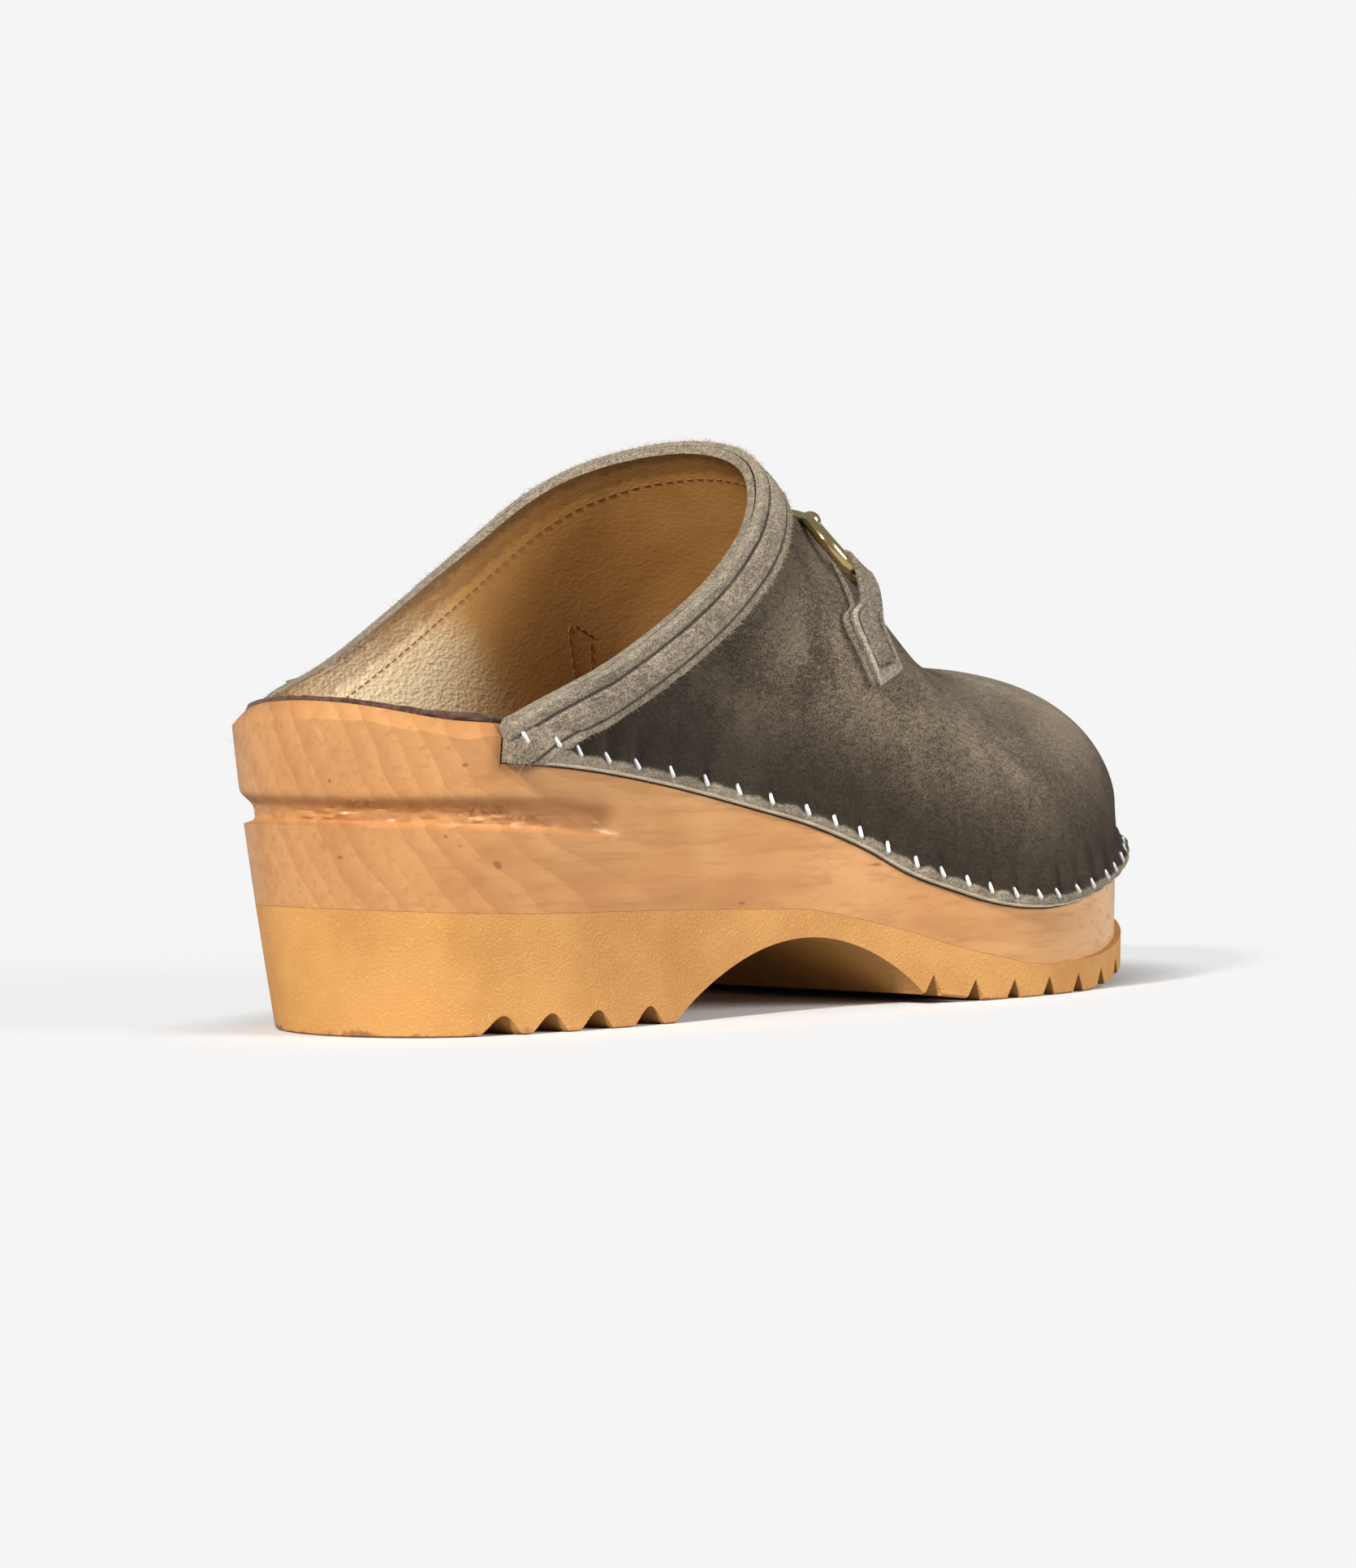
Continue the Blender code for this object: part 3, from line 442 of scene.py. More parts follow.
for k, up in enumerate(np.linspace(0.0, 1.0, 12)[1:]):
    height = ledge + (crest - ledge) * up
    deep = min(1.0, up / 0.14)**0.6 * (1 - ramp(up, 0.45, 1.0))
    rough = GROOVE_ROUGH * wander(len(SPOKES), 4, 40 + k) * math.sin(math.pi * min(1.0, up * 1.4))
    inset = lean_inset(SPOKE_X, height) + (GROOVE_DEPTH * deep + rough) * fade
    wood_rings.append(ring(inset, height))
for share in np.linspace(0.0, 1.0, 8)[1:]:
    height = crest + (leather - np.where(BARE, 0.001, 0.0) - crest) * share
    wood_rings.append(ring(lean_inset(SPOKE_X, height), height))
wood_rings.append(ring(np.where(BARE, lean_inset(SPOKE_X, leather), REBATE), leather))
carved = CHAMFER_ROUGH * wander(len(SPOKES), 14, 3)
wood_rings.append(ring(REBATE, rim - np.where(BARE, CHAMFER_DROP + carved, HIDDEN_BEVEL)))
wood_rings.append(ring(REBATE + np.where(BARE, CHAMFER_INSET * 0.85, HIDDEN_BEVEL / 2), rim - 0.0005))
wood_rings.append(ring(REBATE + np.where(BARE, CHAMFER_INSET + 0.0004, HIDDEN_BEVEL), rim))
wood_rings += [bed_ring(share, 0.0) for share in BED_SHARES]

HONEY = (0.600, 0.288, 0.104, 1.0)
PALE_HONEY = (0.700, 0.375, 0.150, 1.0)
RUSSET = (0.430, 0.180, 0.060, 1.0)
PAINTED_TOE_LIGHT = (0.840, 0.540, 0.290, 1.0)
RING_SPACING = 0.0090
DARK_FLECK = (0.26, 0.10, 0.035, 1.0)
PIN_KNOT = (0.10, 0.035, 0.012, 1.0)
COVE_BROWN_AND_SHADE = (0.330, 0.125, 0.036, 1.0)
STREAK_BROWN = (0.44, 0.190, 0.066, 1.0)


def stored(tree, name):
    """A number kept with each vertex of the piece."""
    return node(tree, "ShaderNodeAttribute", attribute_name=name).outputs["Fac"]


def home(*values):
    """The node tree of the first socket among some values."""
    return next(value.id_data for value in values if isinstance(value, bpy.types.NodeSocket))


def split(coords):
    """The three numbers of a place."""
    return node(home(coords), "ShaderNodeSeparateXYZ", {0: coords}).outputs


def scaled(coords, scale, location=(0, 0, 0)):
    """Object coordinates through a Mapping node."""
    return node(home(coords), "ShaderNodeMapping",
                {"Vector": coords, "Scale": scale, "Location": location}).outputs[0]


def noise(coords, scale, detail=3.0, rough=0.55, distortion=0.0):
    """Noise of 0 to 1 at a scale in features per metre."""
    return node(home(coords), "ShaderNodeTexNoise",
                {"Vector": coords, "Scale": scale, "Detail": detail, "Roughness": rough,
                 "Distortion": distortion}).outputs["Fac"]


def maths(operation, *values):
    """One Math node on the values given."""
    return node(home(*values), "ShaderNodeMath", dict(enumerate(values)), operation=operation).outputs[0]


def times(a, b):
    """The product of a and b."""
    return maths("MULTIPLY", a, b)


def plus(a, b):
    """The sum of a and b."""
    return maths("ADD", a, b)


def minus(a, b):
    """The difference a less b."""
    return maths("SUBTRACT", a, b)


def scale_add(a, b, c):
    """The product of a and b, plus c."""
    return maths("MULTIPLY_ADD", a, b, c)


def spread(value, low, high, to_low=0.0, to_high=1.0):
    """Value from low..high to to_low..to_high, eased, and held at the ends."""
    return node(home(value), "ShaderNodeMapRange", {0: value, 1: low, 2: high, 3: to_low, 4: to_high},
                interpolation_type="SMOOTHSTEP").outputs[0]


def blend(share, a, b):
    """Mixes a share of colour b into colour a."""
    return node(home(share, a, b), "ShaderNodeMix", {0: share, 6: a, 7: b}, data_type="RGBA").outputs[2]


def relief(height, distance, strength=1.0, under=None):
    """A Bump node's normal, over another one's where given."""
    inputs = {"Height": height, "Distance": distance, "Strength": strength}
    if under is not None:
        inputs["Normal"] = under
    return node(home(height), "ShaderNodeBump", inputs).outputs[0]


def alder():
    """Growth rings are steps of height plus a slope that eases off from the heel forward, less a
    share of the sideways place; over them streaks along the grain, fleck and pin knots."""
    made, tree, place = new_finish("alder_wood", Roughness=0.4, Coat_Weight=0.12, Coat_Roughness=0.30)
    x, y, z = split(place)
    from_heel = plus(x, HEEL_MIDDLE)
    ease = maths("POWER", math.e, maths("DIVIDE", from_heel, -0.030))
    slope = scale_add(ease, -0.033, times(from_heel, 0.07))
    rings = plus(plus(z, slope), times(y, -1.5))
    swell = noise(scaled(place, (0.5, 1.0, 1.0)), 38.0, 2.0)
    rings = scale_add(minus(swell, 0.5), 0.020, rings)
    turns = maths("DIVIDE", rings, RING_SPACING)
    band = maths("FRACT", turns)
    edge = times(spread(band, 0.0, 0.05), spread(band, 0.95, 0.06))
    year = node(tree, "ShaderNodeTexWhiteNoise", {"W": maths("FLOOR", turns)},
                noise_dimensions="1D").outputs["Value"]
    depth = times(edge, scale_add(year, 0.7, 0.3))
    streak = noise(scaled(place, (0.05, 1.0, 1.0)), 560.0, 3.0, 0.65)
    long_streak = noise(scaled(place, (0.10, 0.8, 1.0)), 130.0, 3.0, 0.6, 0.6)
    warm = noise(place, 28.0, 2.0)
    colour = blend(spread(warm, 0.35, 0.68), PALE_HONEY, HONEY)
    colour = blend(spread(from_heel, 0.110, 0.0, 0.0, 0.32), colour, RUSSET)
    # Painted light: the wood turns paler towards the toe, standing in for the light that falls on it there.
    colour = blend(spread(from_heel, 0.170, 0.240, 0.0, 0.90), colour, PAINTED_TOE_LIGHT)
    near_heel = spread(from_heel, 0.085, 0.035)
    colour = blend(times(depth, scale_add(near_heel, 0.42, 0.10)), colour, RUSSET)
    colour = blend(spread(long_streak, 0.47, 0.74, 0.0, 0.46), colour, RUSSET)
    colour = blend(spread(streak, 0.46, 0.72, 0.0, 0.55), colour, STREAK_BROWN)
    fleck = noise(scaled(place, (0.22, 1.0, 1.0), (3.0, 1.0, 0.0)), 330.0, 1.0)
    colour = blend(spread(fleck, 0.735, 0.78, 0.0, 0.75), colour, DARK_FLECK)
    cells = node(tree, "ShaderNodeTexVoronoi", {"Vector": place, "Scale": 75.0, "Randomness": 1.0})
    knot = spread(cells.outputs["Distance"], 0.062, 0.030)
    red = node(tree, "ShaderNodeSeparateColor", {0: cells.outputs["Color"]}).outputs[0]
    chosen = spread(red, 0.60, 0.62)
    colour = blend(times(knot, chosen), colour, PIN_KNOT)
    # The groove's colour is partly its rough, torn grain and partly painted shade laid over the whole recess.
    in_cove = stored(tree, "cove")
    grit = noise(place, 900.0, 3.0, 0.7)
    torn = spread(noise(scaled(place, (0.5, 1.0, 1.0), (0.7, 0.0, 0.0)), 75.0, 2.0), 0.52, 0.66)
    cove = times(in_cove, scale_add(torn, spread(grit, 0.4, 0.7), 0.30))
    colour = blend(cove, colour, COVE_BROWN_AND_SHADE)
    gloss = scale_add(in_cove, 0.3, spread(streak, 0.3, 0.8, 0.34, 0.46))
    fine = relief(scale_add(streak, 1.0, times(band, 0.35)), 0.00006, 0.5)
    pits = relief(times(grit, times(in_cove, torn)), 0.0004, 0.9, fine)
    return dress(made, colour, pits, gloss)


def point_values(piece, name, values):
    """Stores one number a vertex under a name."""
    kept = piece.data.attributes.new(name, "FLOAT", "POINT")
    kept.data.foreach_set("value", np.asarray(values, np.float32))


wood_points, wood_faces = ring_body(wood_rings)
wood = put_mesh("alder_sole", wood_points, wood_faces, [alder()], sharp=32.0)
wx, _, wz = wood_points.T
cove_low = GROOVE_LEDGE - GROOVE_SLOPE * ramp(wx, 0.0, GROOVE_END)
inside = ramp(wz, cove_low - 0.0004, cove_low + 0.0003) * (1 - ramp(wz, GROOVE_TOP - 0.0016, GROOVE_TOP))
point_values(wood, "cove", inside * (1 - ramp(wx, GROOVE_END - GROOVE_FADE, GROOVE_END)))
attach(wood, "root")
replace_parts(wood, "wood_sole")

# Rubber outsole
# Heel lift and forefoot are one moulding of amber crepe-coloured rubber with a fine pebble, an arch
# between them, rounded notches under the heel and sharp ones under the forefoot. It is glued on.

SEAM = 0.00005
TOE_SPRING = 0.0095
SPRING_START = 0.203
TREAD_FLARE = 0.0015
FLARE_START = 0.170
ARCH_START = 0.0765
ARCH_END = 0.1505
ARCH_RISE = 0.0155
ROCKER_RISE = 0.0022
ROCKER_END = 0.1720
HEEL_NOTCH = (0.0040, 0.0104)
HEEL_NOTCHES = (0.0300, 0.0413, 0.0534, 0.0684)
FORE_NOTCH = (0.0042, 0.0052)
FORE_NOTCHES = 0.1515 + 0.0122 * np.arange(9)
AMBER = (0.660, 0.330, 0.096, 1.0)
DEEP_AMBER = (0.540, 0.252, 0.064, 1.0)
PALE_SPECK = (0.83, 0.50, 0.18, 1.0)
TREAD_EDGE_SHADE = (0.20, 0.075, 0.035, 1.0)


def floor_height(x):
    """Underside of the tread: flat heel, a slight rocker behind the ball, then the toe spring, both
    powers of the share of the way along."""
    rise = np.clip((x - SPRING_START) / (LENGTH - SPRING_START), 0.0, 1.0)
    behind = np.clip((ROCKER_END - x) / (ROCKER_END - ARCH_END), 0.0, 1.0)
    middle = (ARCH_START + ARCH_END) / 2
    return TOE_SPRING * rise**1.6 + ROCKER_RISE * ramp(x, middle - 0.010, middle + 0.010) * behind**1.5


def arch_line(steps):
    """Side view of the arch: a skewed half sine to the power three quarters, closed below."""
    t = np.linspace(0.0, 1.0, steps + 1)
    rise = ARCH_RISE * np.clip(np.sin(math.pi * t**1.1), 0.0, 1.0)**0.75
    line = np.column_stack([ARCH_START + (ARCH_END - ARCH_START) * t, rise])[::-1]
    return np.vstack([[ARCH_END, -ARCH_RISE], line, [ARCH_START, -ARCH_RISE]])


def notch_line(x, depth, width, steps):
    """Side view of a notch: a plain V in two steps, or a raised cosine in more."""
    t = np.linspace(-1.0, 1.0, steps + 1)
    rise = depth * (1 - abs(t)) if steps == 2 else depth * (0.5 + 0.5 * np.cos(math.pi * t))**0.85
    base = float(floor_height(x))
    line = np.column_stack([x + t * width / 2, base + rise])[::-1]
    return np.vstack([[x + width * 0.52, base - depth], line, [x - width * 0.52, base - depth]])


def cut_across(piece, lines, name):
    """Takes bars with these side views out of a piece, and leaves a plain mesh."""
    points = []
    faces = []
    for line in lines:
        start = sum(len(end) for end in points)
        count = len(line)
        for side in (-BALL_WIDTH, BALL_WIDTH):
            points.append(np.column_stack([line[:, 0] - HEEL_MIDDLE, np.full(count, side), line[:, 1]]))
        here = np.arange(count)
        after = (here + 1) % count
        faces += (start + np.stack([here, here + count, after + count, after], axis=1)).tolist()
        faces += [(start + here).tolist(), (start + count + here)[::-1].tolist()]
    mesh = bpy.data.meshes.new(name)
    mesh.from_pydata(np.vstack(points), [], faces)
    tool = bpy.data.objects.new(name, mesh)
    bpy.context.scene.collection.objects.link(tool)
    change = piece.modifiers.new(name, "BOOLEAN")
    change.operation = "DIFFERENCE"
    change.solver = "EXACT"
    change.object = tool
    bpy.context.view_layer.update()
    result = bpy.data.meshes.new_from_object(piece.evaluated_get(bpy.context.evaluated_depsgraph_get()))
    piece.modifiers.clear()
    piece.data = result
    bpy.data.objects.remove(tool)


def amber_rubber():
    """Amber body with slow warm and pale zones, a fine pebble, and painted shade along the tread's lower
    edge, reddish and strongest at the back of the heel."""
    made, tree, place = new_finish("amber_rubber", Roughness=0.5)
    x, y, z = split(place)
    cloud = noise(place, 38.0, 3.0, 0.6)
    colour = blend(spread(cloud, 0.34, 0.70), AMBER, DEEP_AMBER)
    speck = noise(place, 1500.0, 2.0, 0.6)
    colour = blend(spread(speck, 0.56, 0.74, 0.0, 0.35), colour, PALE_SPECK)
    # Painted shade: the lowest millimetre or two of the tread's edge is darkened, most at the back of the
    # heel.
    edge_noise = noise(place, 260.0, 3.0, 0.65)
    top = spread(edge_noise, 0.40, 0.80, 0.0001, 0.0020)
    edge_shade = spread(minus(z, top), 0.0006, -0.0006)
    back = spread(x, 0.012, -0.030)
    colour = blend(times(edge_shade, scale_add(back, 0.60, 0.10)), colour, TREAD_EDGE_SHADE)
    cells = node(tree, "ShaderNodeTexVoronoi", {"Vector": place, "Scale": 1900.0})
    pebble = relief(scale_add(speck, 0.6, cells.outputs["Distance"]), 0.00013, 0.6)
    return dress(made, colour, pebble, spread(cloud, 0.3, 0.7, 0.44, 0.58))


top = level(SPOKE_X, JUNCTION) - SEAM
floor = floor_height(SPOKE_X)
flare = TREAD_FLARE * ramp(SPOKE_X, FLARE_START, FLARE_START + 0.050)
lower_inset = lean_inset(SPOKE_X, floor) - flare
upper_inset = lean_inset(SPOKE_X, level(SPOKE_X, JUNCTION)) - flare
sole_rings = [ring(lower_inset + 0.0005, floor_height, share) for share in (1.0, 0.5, 0.0)]
for share in np.linspace(0.0, 1.0, 10)[:-1]:
    height = floor + 0.0004 + (top - floor - 0.0004) * share
    sole_rings.append(ring(lean_inset(SPOKE_X, height) - flare, height))
sole_rings += reversed(junction_rings(upper_inset, SEAM))
points, faces = ring_body(sole_rings)
outsole = put_mesh("rubber_outsole", points, faces, [amber_rubber()])
notches = [notch_line(x, *HEEL_NOTCH, 14) for x in HEEL_NOTCHES]
notches += [notch_line(x, *FORE_NOTCH, 2) for x in FORE_NOTCHES]
cut_across(outsole, [arch_line(64)], "arch_tool")
cut_across(outsole, notches, "notch_tool")
outsole.data.set_sharp_from_angle(angle=math.radians(30))
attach(outsole, "root")
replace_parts(outsole, "outsole")

# Insole
# A thin sock of dark brown split leather glued in the wooden bed; its felted cut edge shows as a line
# above the wood at the heel.

INSOLE_THICK = 0.0015


def sock_leather():
    """Dark brown nap: two browns mixed by fine noise, with a rough bump."""
    made, tree, place = new_finish("sock_leather", Roughness=0.9, Sheen_Weight=0.25)
    grain = noise(place, 900.0, 4.0, 0.65)
    cloud = noise(place, 60.0, 2.0)
    colour = blend(spread(grain, 0.35, 0.7), (0.052, 0.021, 0.013, 1.0), (0.150, 0.066, 0.040, 1.0))
    colour = blend(spread(cloud, 0.4, 0.7, 0.0, 0.4), colour, (0.10, 0.045, 0.028, 1.0))
    return dress(made, colour, relief(grain, 0.0003, 0.8))


fray = 0.00010 * wander(len(SPOKES), 3, 11)
sock_rings = [bed_ring(share, GAP) for share in reversed(BED_SHARES)]
for inset, up in ((0.0003, 0.4), (0.0001, 0.8)):
    sock_rings.append(ring(REBATE + FOOTBED_RIM - inset + fray,
                           lambda x: level(x, RIM) + GAP + INSOLE_THICK * up))
sock_rings += [bed_ring(share, GAP + INSOLE_THICK) for share in BED_SHARES]
sock_rings[len(BED_SHARES) + 2][:, 2] += 0.5 * fray
points, faces = ring_body(sock_rings)
sock = put_mesh("leather_sock", points, faces, [sock_leather()])
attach(sock, "root")
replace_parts(sock, "insole")

# Hollow upper
# One piece of taupe suede with a smooth leather lining, pulled over the last, its lower edge stapled
# to the rebate in the wood. Between the staples the leather puckers, and its cut edge shows pale.

INSTEP_HEIGHT = 0.1172
RIDGE_SIDE = 0.002
COLLAR_APEX = 0.4828 * LENGTH
FLANGE_FLARE = 0.0015
STAPLE_STEP = 0.0078
STAPLE_STRETCH = 0.0032
STAPLE_UP = 0.38
STAPLE_JITTER = 0.0008
STAPLE_END = 0.0034
HEEL_STRETCH_AT = 0.080
HEEL_STRETCH_OVER = 0.034
PUCKER_IN = 0.00090
PUCKER_OUT = 0.00055
PUCKER_REACH = 0.0046
PUCKER_DOWN = 0.0024
CREASE = 0.00035
PULL = 0.00040
BILLOW = 0.00035
CUT_BEVEL = 0.0005
TOE_TUCK = 0.0020
TOE_LIP = 0.0010
FOLLOWED_FROM = 0.0008

# Sections of the upper: shares of LENGTH, INSTEP_HEIGHT, a plain exponent, shares of BALL_WIDTH
SECTIONS = (
    # along, ridge, squareness, fullness, lean to the medial side
    (0.093, 0.690, 1.88, 0.062, 0.015),
    (0.191, 0.946, 2.05, 0.077, 0.020),
    (0.294, 1.112, 2.11, 0.094, 0.026),
    (0.382, 1.131, 1.97, 0.074, 0.029),
    (0.483, 1.000, 1.93, 0.049, 0.021),
    (0.553, 0.857, 2.10, 0.031, 0.011),
    (0.630, 0.697, 2.18, 0.009, 0.006),
    (0.706, 0.618, 2.28, -0.012, 0.004),
    (0.782, 0.592, 2.40, -0.034, 0.003),
)
RIDGE, SQUARE, FULL, LEAN = range(1, 5)
TOE_SQUARE = 2.40
TOE_FULL = -0.022

# Height of the collar's edge: shares of LENGTH, then of INSTEP_HEIGHT
COLLAR = (
    # along, height
    (0.093, 0.519),
    (0.110, 0.541),
    (0.191, 0.609),
    (0.294, 0.720),
    (0.380, 0.835),
    (0.451, 0.956),
    (0.483, 1.000),
)

# The leather's stand-off along the wood: share of the way up from its cut edge, share of the flare
STRIP = (
    # up, flare
    (0.00, 0.35),
    (0.35, 1.00),
    (0.68, 0.60),
    (1.00, 0.00),
)


def section_point(index, angle):
    """Point of the upper over the outline's point at index: a superellipse from the rim (angle 0) to
    the ridge (a right angle), filled out between them by the sine of twice the angle."""
    base = outline_point(index, UPPER_PROUD)
    side = np.sign(base[..., 1])
    x = outline_point(index)[..., 0]
    station = np.minimum(x, TOE_CENTRE)
    ridge = smooth(SECTIONS, RIDGE, LENGTH, INSTEP_HEIGHT, station)
    square = smooth(SECTIONS, SQUARE, LENGTH, 1.0, station)
    full = smooth(SECTIONS, FULL, LENGTH, BALL_WIDTH, station)
    full = full + side * smooth(SECTIONS, LEAN, LENGTH, BALL_WIDTH, station)
    round_toe = np.clip((x - TOE_CENTRE) / (LENGTH - TOE_CENTRE), 0.0, 1.0)**0.5
    square = square * (1 - round_toe) + TOE_SQUARE * round_toe
    full = full * (1 - round_toe) + TOE_FULL * BALL_WIDTH * round_toe
    foot = np.stack([station, np.full_like(station, RIDGE_SIDE)], axis=-1)
    spoke = base - foot
    away = unit(spoke)
    across = np.cos(angle)**(2 / square)
    up = np.sin(angle)**(2 / square)
    plan = foot + spoke * across[..., None] + away * (full * np.sin(2 * angle))[..., None]
    rim = level(x, RIM)
    return np.concatenate([plan, (rim + (ridge - rim) * up)[..., None]], axis=-1)


def strip_point(index, up, inner=False):
    """Point of the leather along the wood's side, a share of the way up from its cut edge."""
    x = outline_point(index)[..., 0]
    low = level(x, LEATHER)
    high = level(x, RIM)
    flare = smooth(STRIP, 1, 1.0, 1.0, up) * (0.2 + 0.8 * ramp(x, FLARE_START, FLARE_START + 0.050))
    out = UPPER_PROUD + flare * FLANGE_FLARE
    if inner:
        out = np.full(x.shape, UPPER_PROUD - UPPER_WALL)
    return np.concatenate([outline_point(index, out), (low + (high - low) * up)[..., None]], axis=-1)


def collar_x(angle, side):
    """Where the section at this angle reaches the collar's edge: bisection on height."""
    low = np.full(angle.shape, COLLAR_START)
    high = np.full(angle.shape, COLLAR_APEX)
    for _ in range(40):
        middle = (low + high) / 2
        edge = smooth(COLLAR, 1, LENGTH, INSTEP_HEIGHT, middle)
        over = section_point(index_at(middle, side), angle)[..., 2] > edge
        low = np.where(over, middle, low)
        high = np.where(over, high, middle)
    return (low + high) / 2


def row_point(index, row):
    """Point of the leather on a row: rows from -1 to 0 climb the strip along the wood, rows from 0
    to 1 the section up to the ridge."""
    row = np.broadcast_to(row, index.shape)
    lower = strip_point(index, np.clip(row + 1, 0.0, 1.0))
    upper = section_point(index, np.clip(row, 0.0, 1.0) * math.pi / 2)
    return np.where((row < 0)[..., None], lower, upper)


def vertex_normals(points, faces):
    """Area-weighted normal of each point: the sum of the cross products of its triangles' sides."""
    a, b, c = points[faces[:, 0]], points[faces[:, 1]], points[faces[:, 2]]
    cross = np.cross(b - a, c - a)
    total = np.zeros_like(points)
    for k in range(3):
        np.add.at(total, faces[:, k], cross)
    return total / np.maximum(np.linalg.norm(total, axis=1), 1e-20)[:, None]


def two_skins(outer, inner, faces):
    """Closed body of an outer and an inner skin with the same faces, with rims along open edges, and
    a number for each face: 0 outside, 1 inside, 2 rim."""
    size = len(outer)
    edges = np.concatenate([faces[:, [0, 1]], faces[:, [1, 2]], faces[:, [2, 0]]])
    code = edges[:, 0] * size + edges[:, 1]
    open_edges = edges[~np.isin(code, edges[:, 1] * size + edges[:, 0])]
    a, b = open_edges.T
    rim = np.concatenate([np.stack([b, a, a + size], axis=1), np.stack([b, a + size, b + size], axis=1)])
    kind = np.repeat([0, 1, 2], [len(faces), len(faces), len(rim)])
    return np.vstack([outer, inner]), np.concatenate([faces, faces[:, ::-1] + size, rim]), kind


def length_so_far(line):
    """Length of a line of points up to each of them."""
    return np.concatenate([[0.0], np.cumsum(np.linalg.norm(np.diff(line, axis=0), axis=1))])


SIDE_COLUMNS = 200
TOE_COLUMNS = 140
strip_rows = np.linspace(-0.93, 0.0, 13)[:-1]
UPPER_ROWS = np.concatenate([[-1.0, -0.965], strip_rows, np.linspace(0.0, 1.0, 44)**1.15])


def upper_start(row, side):
    """X of the collar's edge on a row."""
    angle = np.clip(np.atleast_1d(row), 0.0, 1.0) * math.pi / 2
    return np.where(np.atleast_1d(row) < 0, COLLAR_START, collar_x(angle, side))


toe_index = np.linspace(index_at(TOE_CENTRE, LATERAL), index_at(TOE_CENTRE, MEDIAL), TOE_COLUMNS + 1)[1:-1]
share = np.linspace(0.0, 1.0, SIDE_COLUMNS + 1)
halves = {}
for side in (LATERAL, MEDIAL):
    start = upper_start(UPPER_ROWS, side)[:, None]
    halves[side] = index_at(start + (TOE_CENTRE - start) * share, side)
toe_rows = np.broadcast_to(toe_index, (len(UPPER_ROWS), len(toe_index)))
upper_index = np.concatenate([halves[LATERAL], toe_rows, halves[MEDIAL][:, ::-1]], axis=1)
upper_row = np.broadcast_to(UPPER_ROWS[:, None], upper_index.shape)
plain = row_point(upper_index, upper_row)
inner_low = strip_point(upper_index, np.clip(upper_row + 1, 0.0, 1.0), inner=True)

# Staples sit along the leather's edge, wider apart beside the heel. The walk goes round the toe.
walk_index = np.linspace(index_at(COLLAR_START, LATERAL), index_at(COLLAR_START, MEDIAL), 3000)
walk = strip_point(walk_index, np.full(walk_index.shape, STAPLE_UP))
walk_far = length_so_far(walk)
inner_walk = (walk_far > STAPLE_END) & (walk_far < walk_far[-1] - STAPLE_END)
stretch = hump(walk[:, 0], HEEL_STRETCH_AT, HEEL_STRETCH_OVER)
pace = STAPLE_STEP + STAPLE_STRETCH * stretch
steps = np.concatenate([[0.0], np.cumsum(np.diff(walk_far) * inner_walk[1:] / pace[1:])])
staple_count = int(round(steps[-1])) + 1
staple_far = np.interp(np.arange(staple_count) * steps[-1] / (staple_count - 1), steps, walk_far)
jitter = STAPLE_JITTER * np.random.default_rng(5).uniform(-1, 1, staple_count)
staple_far[2:-2] += jitter[2:-2]
staple_index = np.interp(staple_far, walk_far, walk_index)


def staple_up(x):
    """Share of the way up the strip where the staples stand: higher at the back than at the toe."""
    return 0.62 - 0.24 * ramp(x, 0.026, 0.060) + 0.12 * ramp(x, 0.205, 0.255)


x_here = outline_point(upper_index)[..., 0]
far_here = np.interp(upper_index, walk_index, walk_far)
step_number = np.interp(far_here, staple_far, np.arange(staple_count))
between = np.sin(math.pi * (step_number % 1.0))**2
strip_high = level(x_here, RIM) - level(x_here, LEATHER)
above = plain[..., 2] - (level(x_here, LEATHER) + staple_up(x_here) * strip_high)
clear_of_band = ramp(x_here, COLLAR_START + 0.012, COLLAR_START + 0.020)
sag = np.where(above > 0, above / PUCKER_REACH, -above / PUCKER_DOWN)
strength = 0.75 + 0.25 * np.sin(step_number * 2.4 + 0.7 * np.sin(step_number))
low_wave = np.exp(-sag**2) * (PUCKER_OUT * between - PUCKER_IN * (1 - between)**3)
crease = -CREASE * hump(above, 0.0004, 0.0010)
pull = PULL * between * hump(above, 0.0055, 0.0035) * strength
shove = clear_of_band * (low_wave * strength + crease + pull)
billow = np.sin(x_here * 95 + plain[..., 2] * 60) * np.sin(x_here * 41 - plain[..., 1] * 85 + 1.0)
shove += BILLOW * ramp(above, 0.010, 0.025) * clear_of_band * billow
at_toe = ramp(x_here, 0.205, 0.250)
shove -= TOE_TUCK * at_toe * hump(above, 0.0048, 0.0050)
shove += TOE_LIP * at_toe * ramp(above, 0.0012, -0.0012)
shove -= CUT_BEVEL * np.clip(1 - (upper_row + 1) / 0.07, 0.0, 1.0)**2
above_edge = plain[..., 2] - level(x_here, LEATHER)
# The colour's line above the staples rises between them, where the puckers catch light: painted light in the
# suede's colour.
mark = above - clear_of_band * (0.0005 * between * strength - 0.0004)
rows, columns = plain.shape[:2]
flat_faces = grid_triangles(rows, columns)
base_points, base_faces, place_of = joined(plain.reshape(-1, 3), flat_faces)
first_of = np.zeros(len(base_points), int)
first_of[place_of] = np.arange(len(place_of))
base_normals = vertex_normals(base_points, base_faces)
if (base_normals[:, 2] * (base_points[:, 2] > 0.09)).sum() < 0:
    base_faces = base_faces[:, ::-1]
    base_normals = -base_normals
outer_points = base_points + base_normals * shove.reshape(-1)[first_of][:, None]
followed = np.minimum(shove + FOLLOWED_FROM, 0.0).reshape(-1)[first_of]
inner_points = base_points + base_normals * (followed - UPPER_WALL)[:, None]
in_strip = (upper_row < 0).reshape(-1)[first_of]
inner_points[in_strip] = inner_low.reshape(-1, 3)[first_of][in_strip]

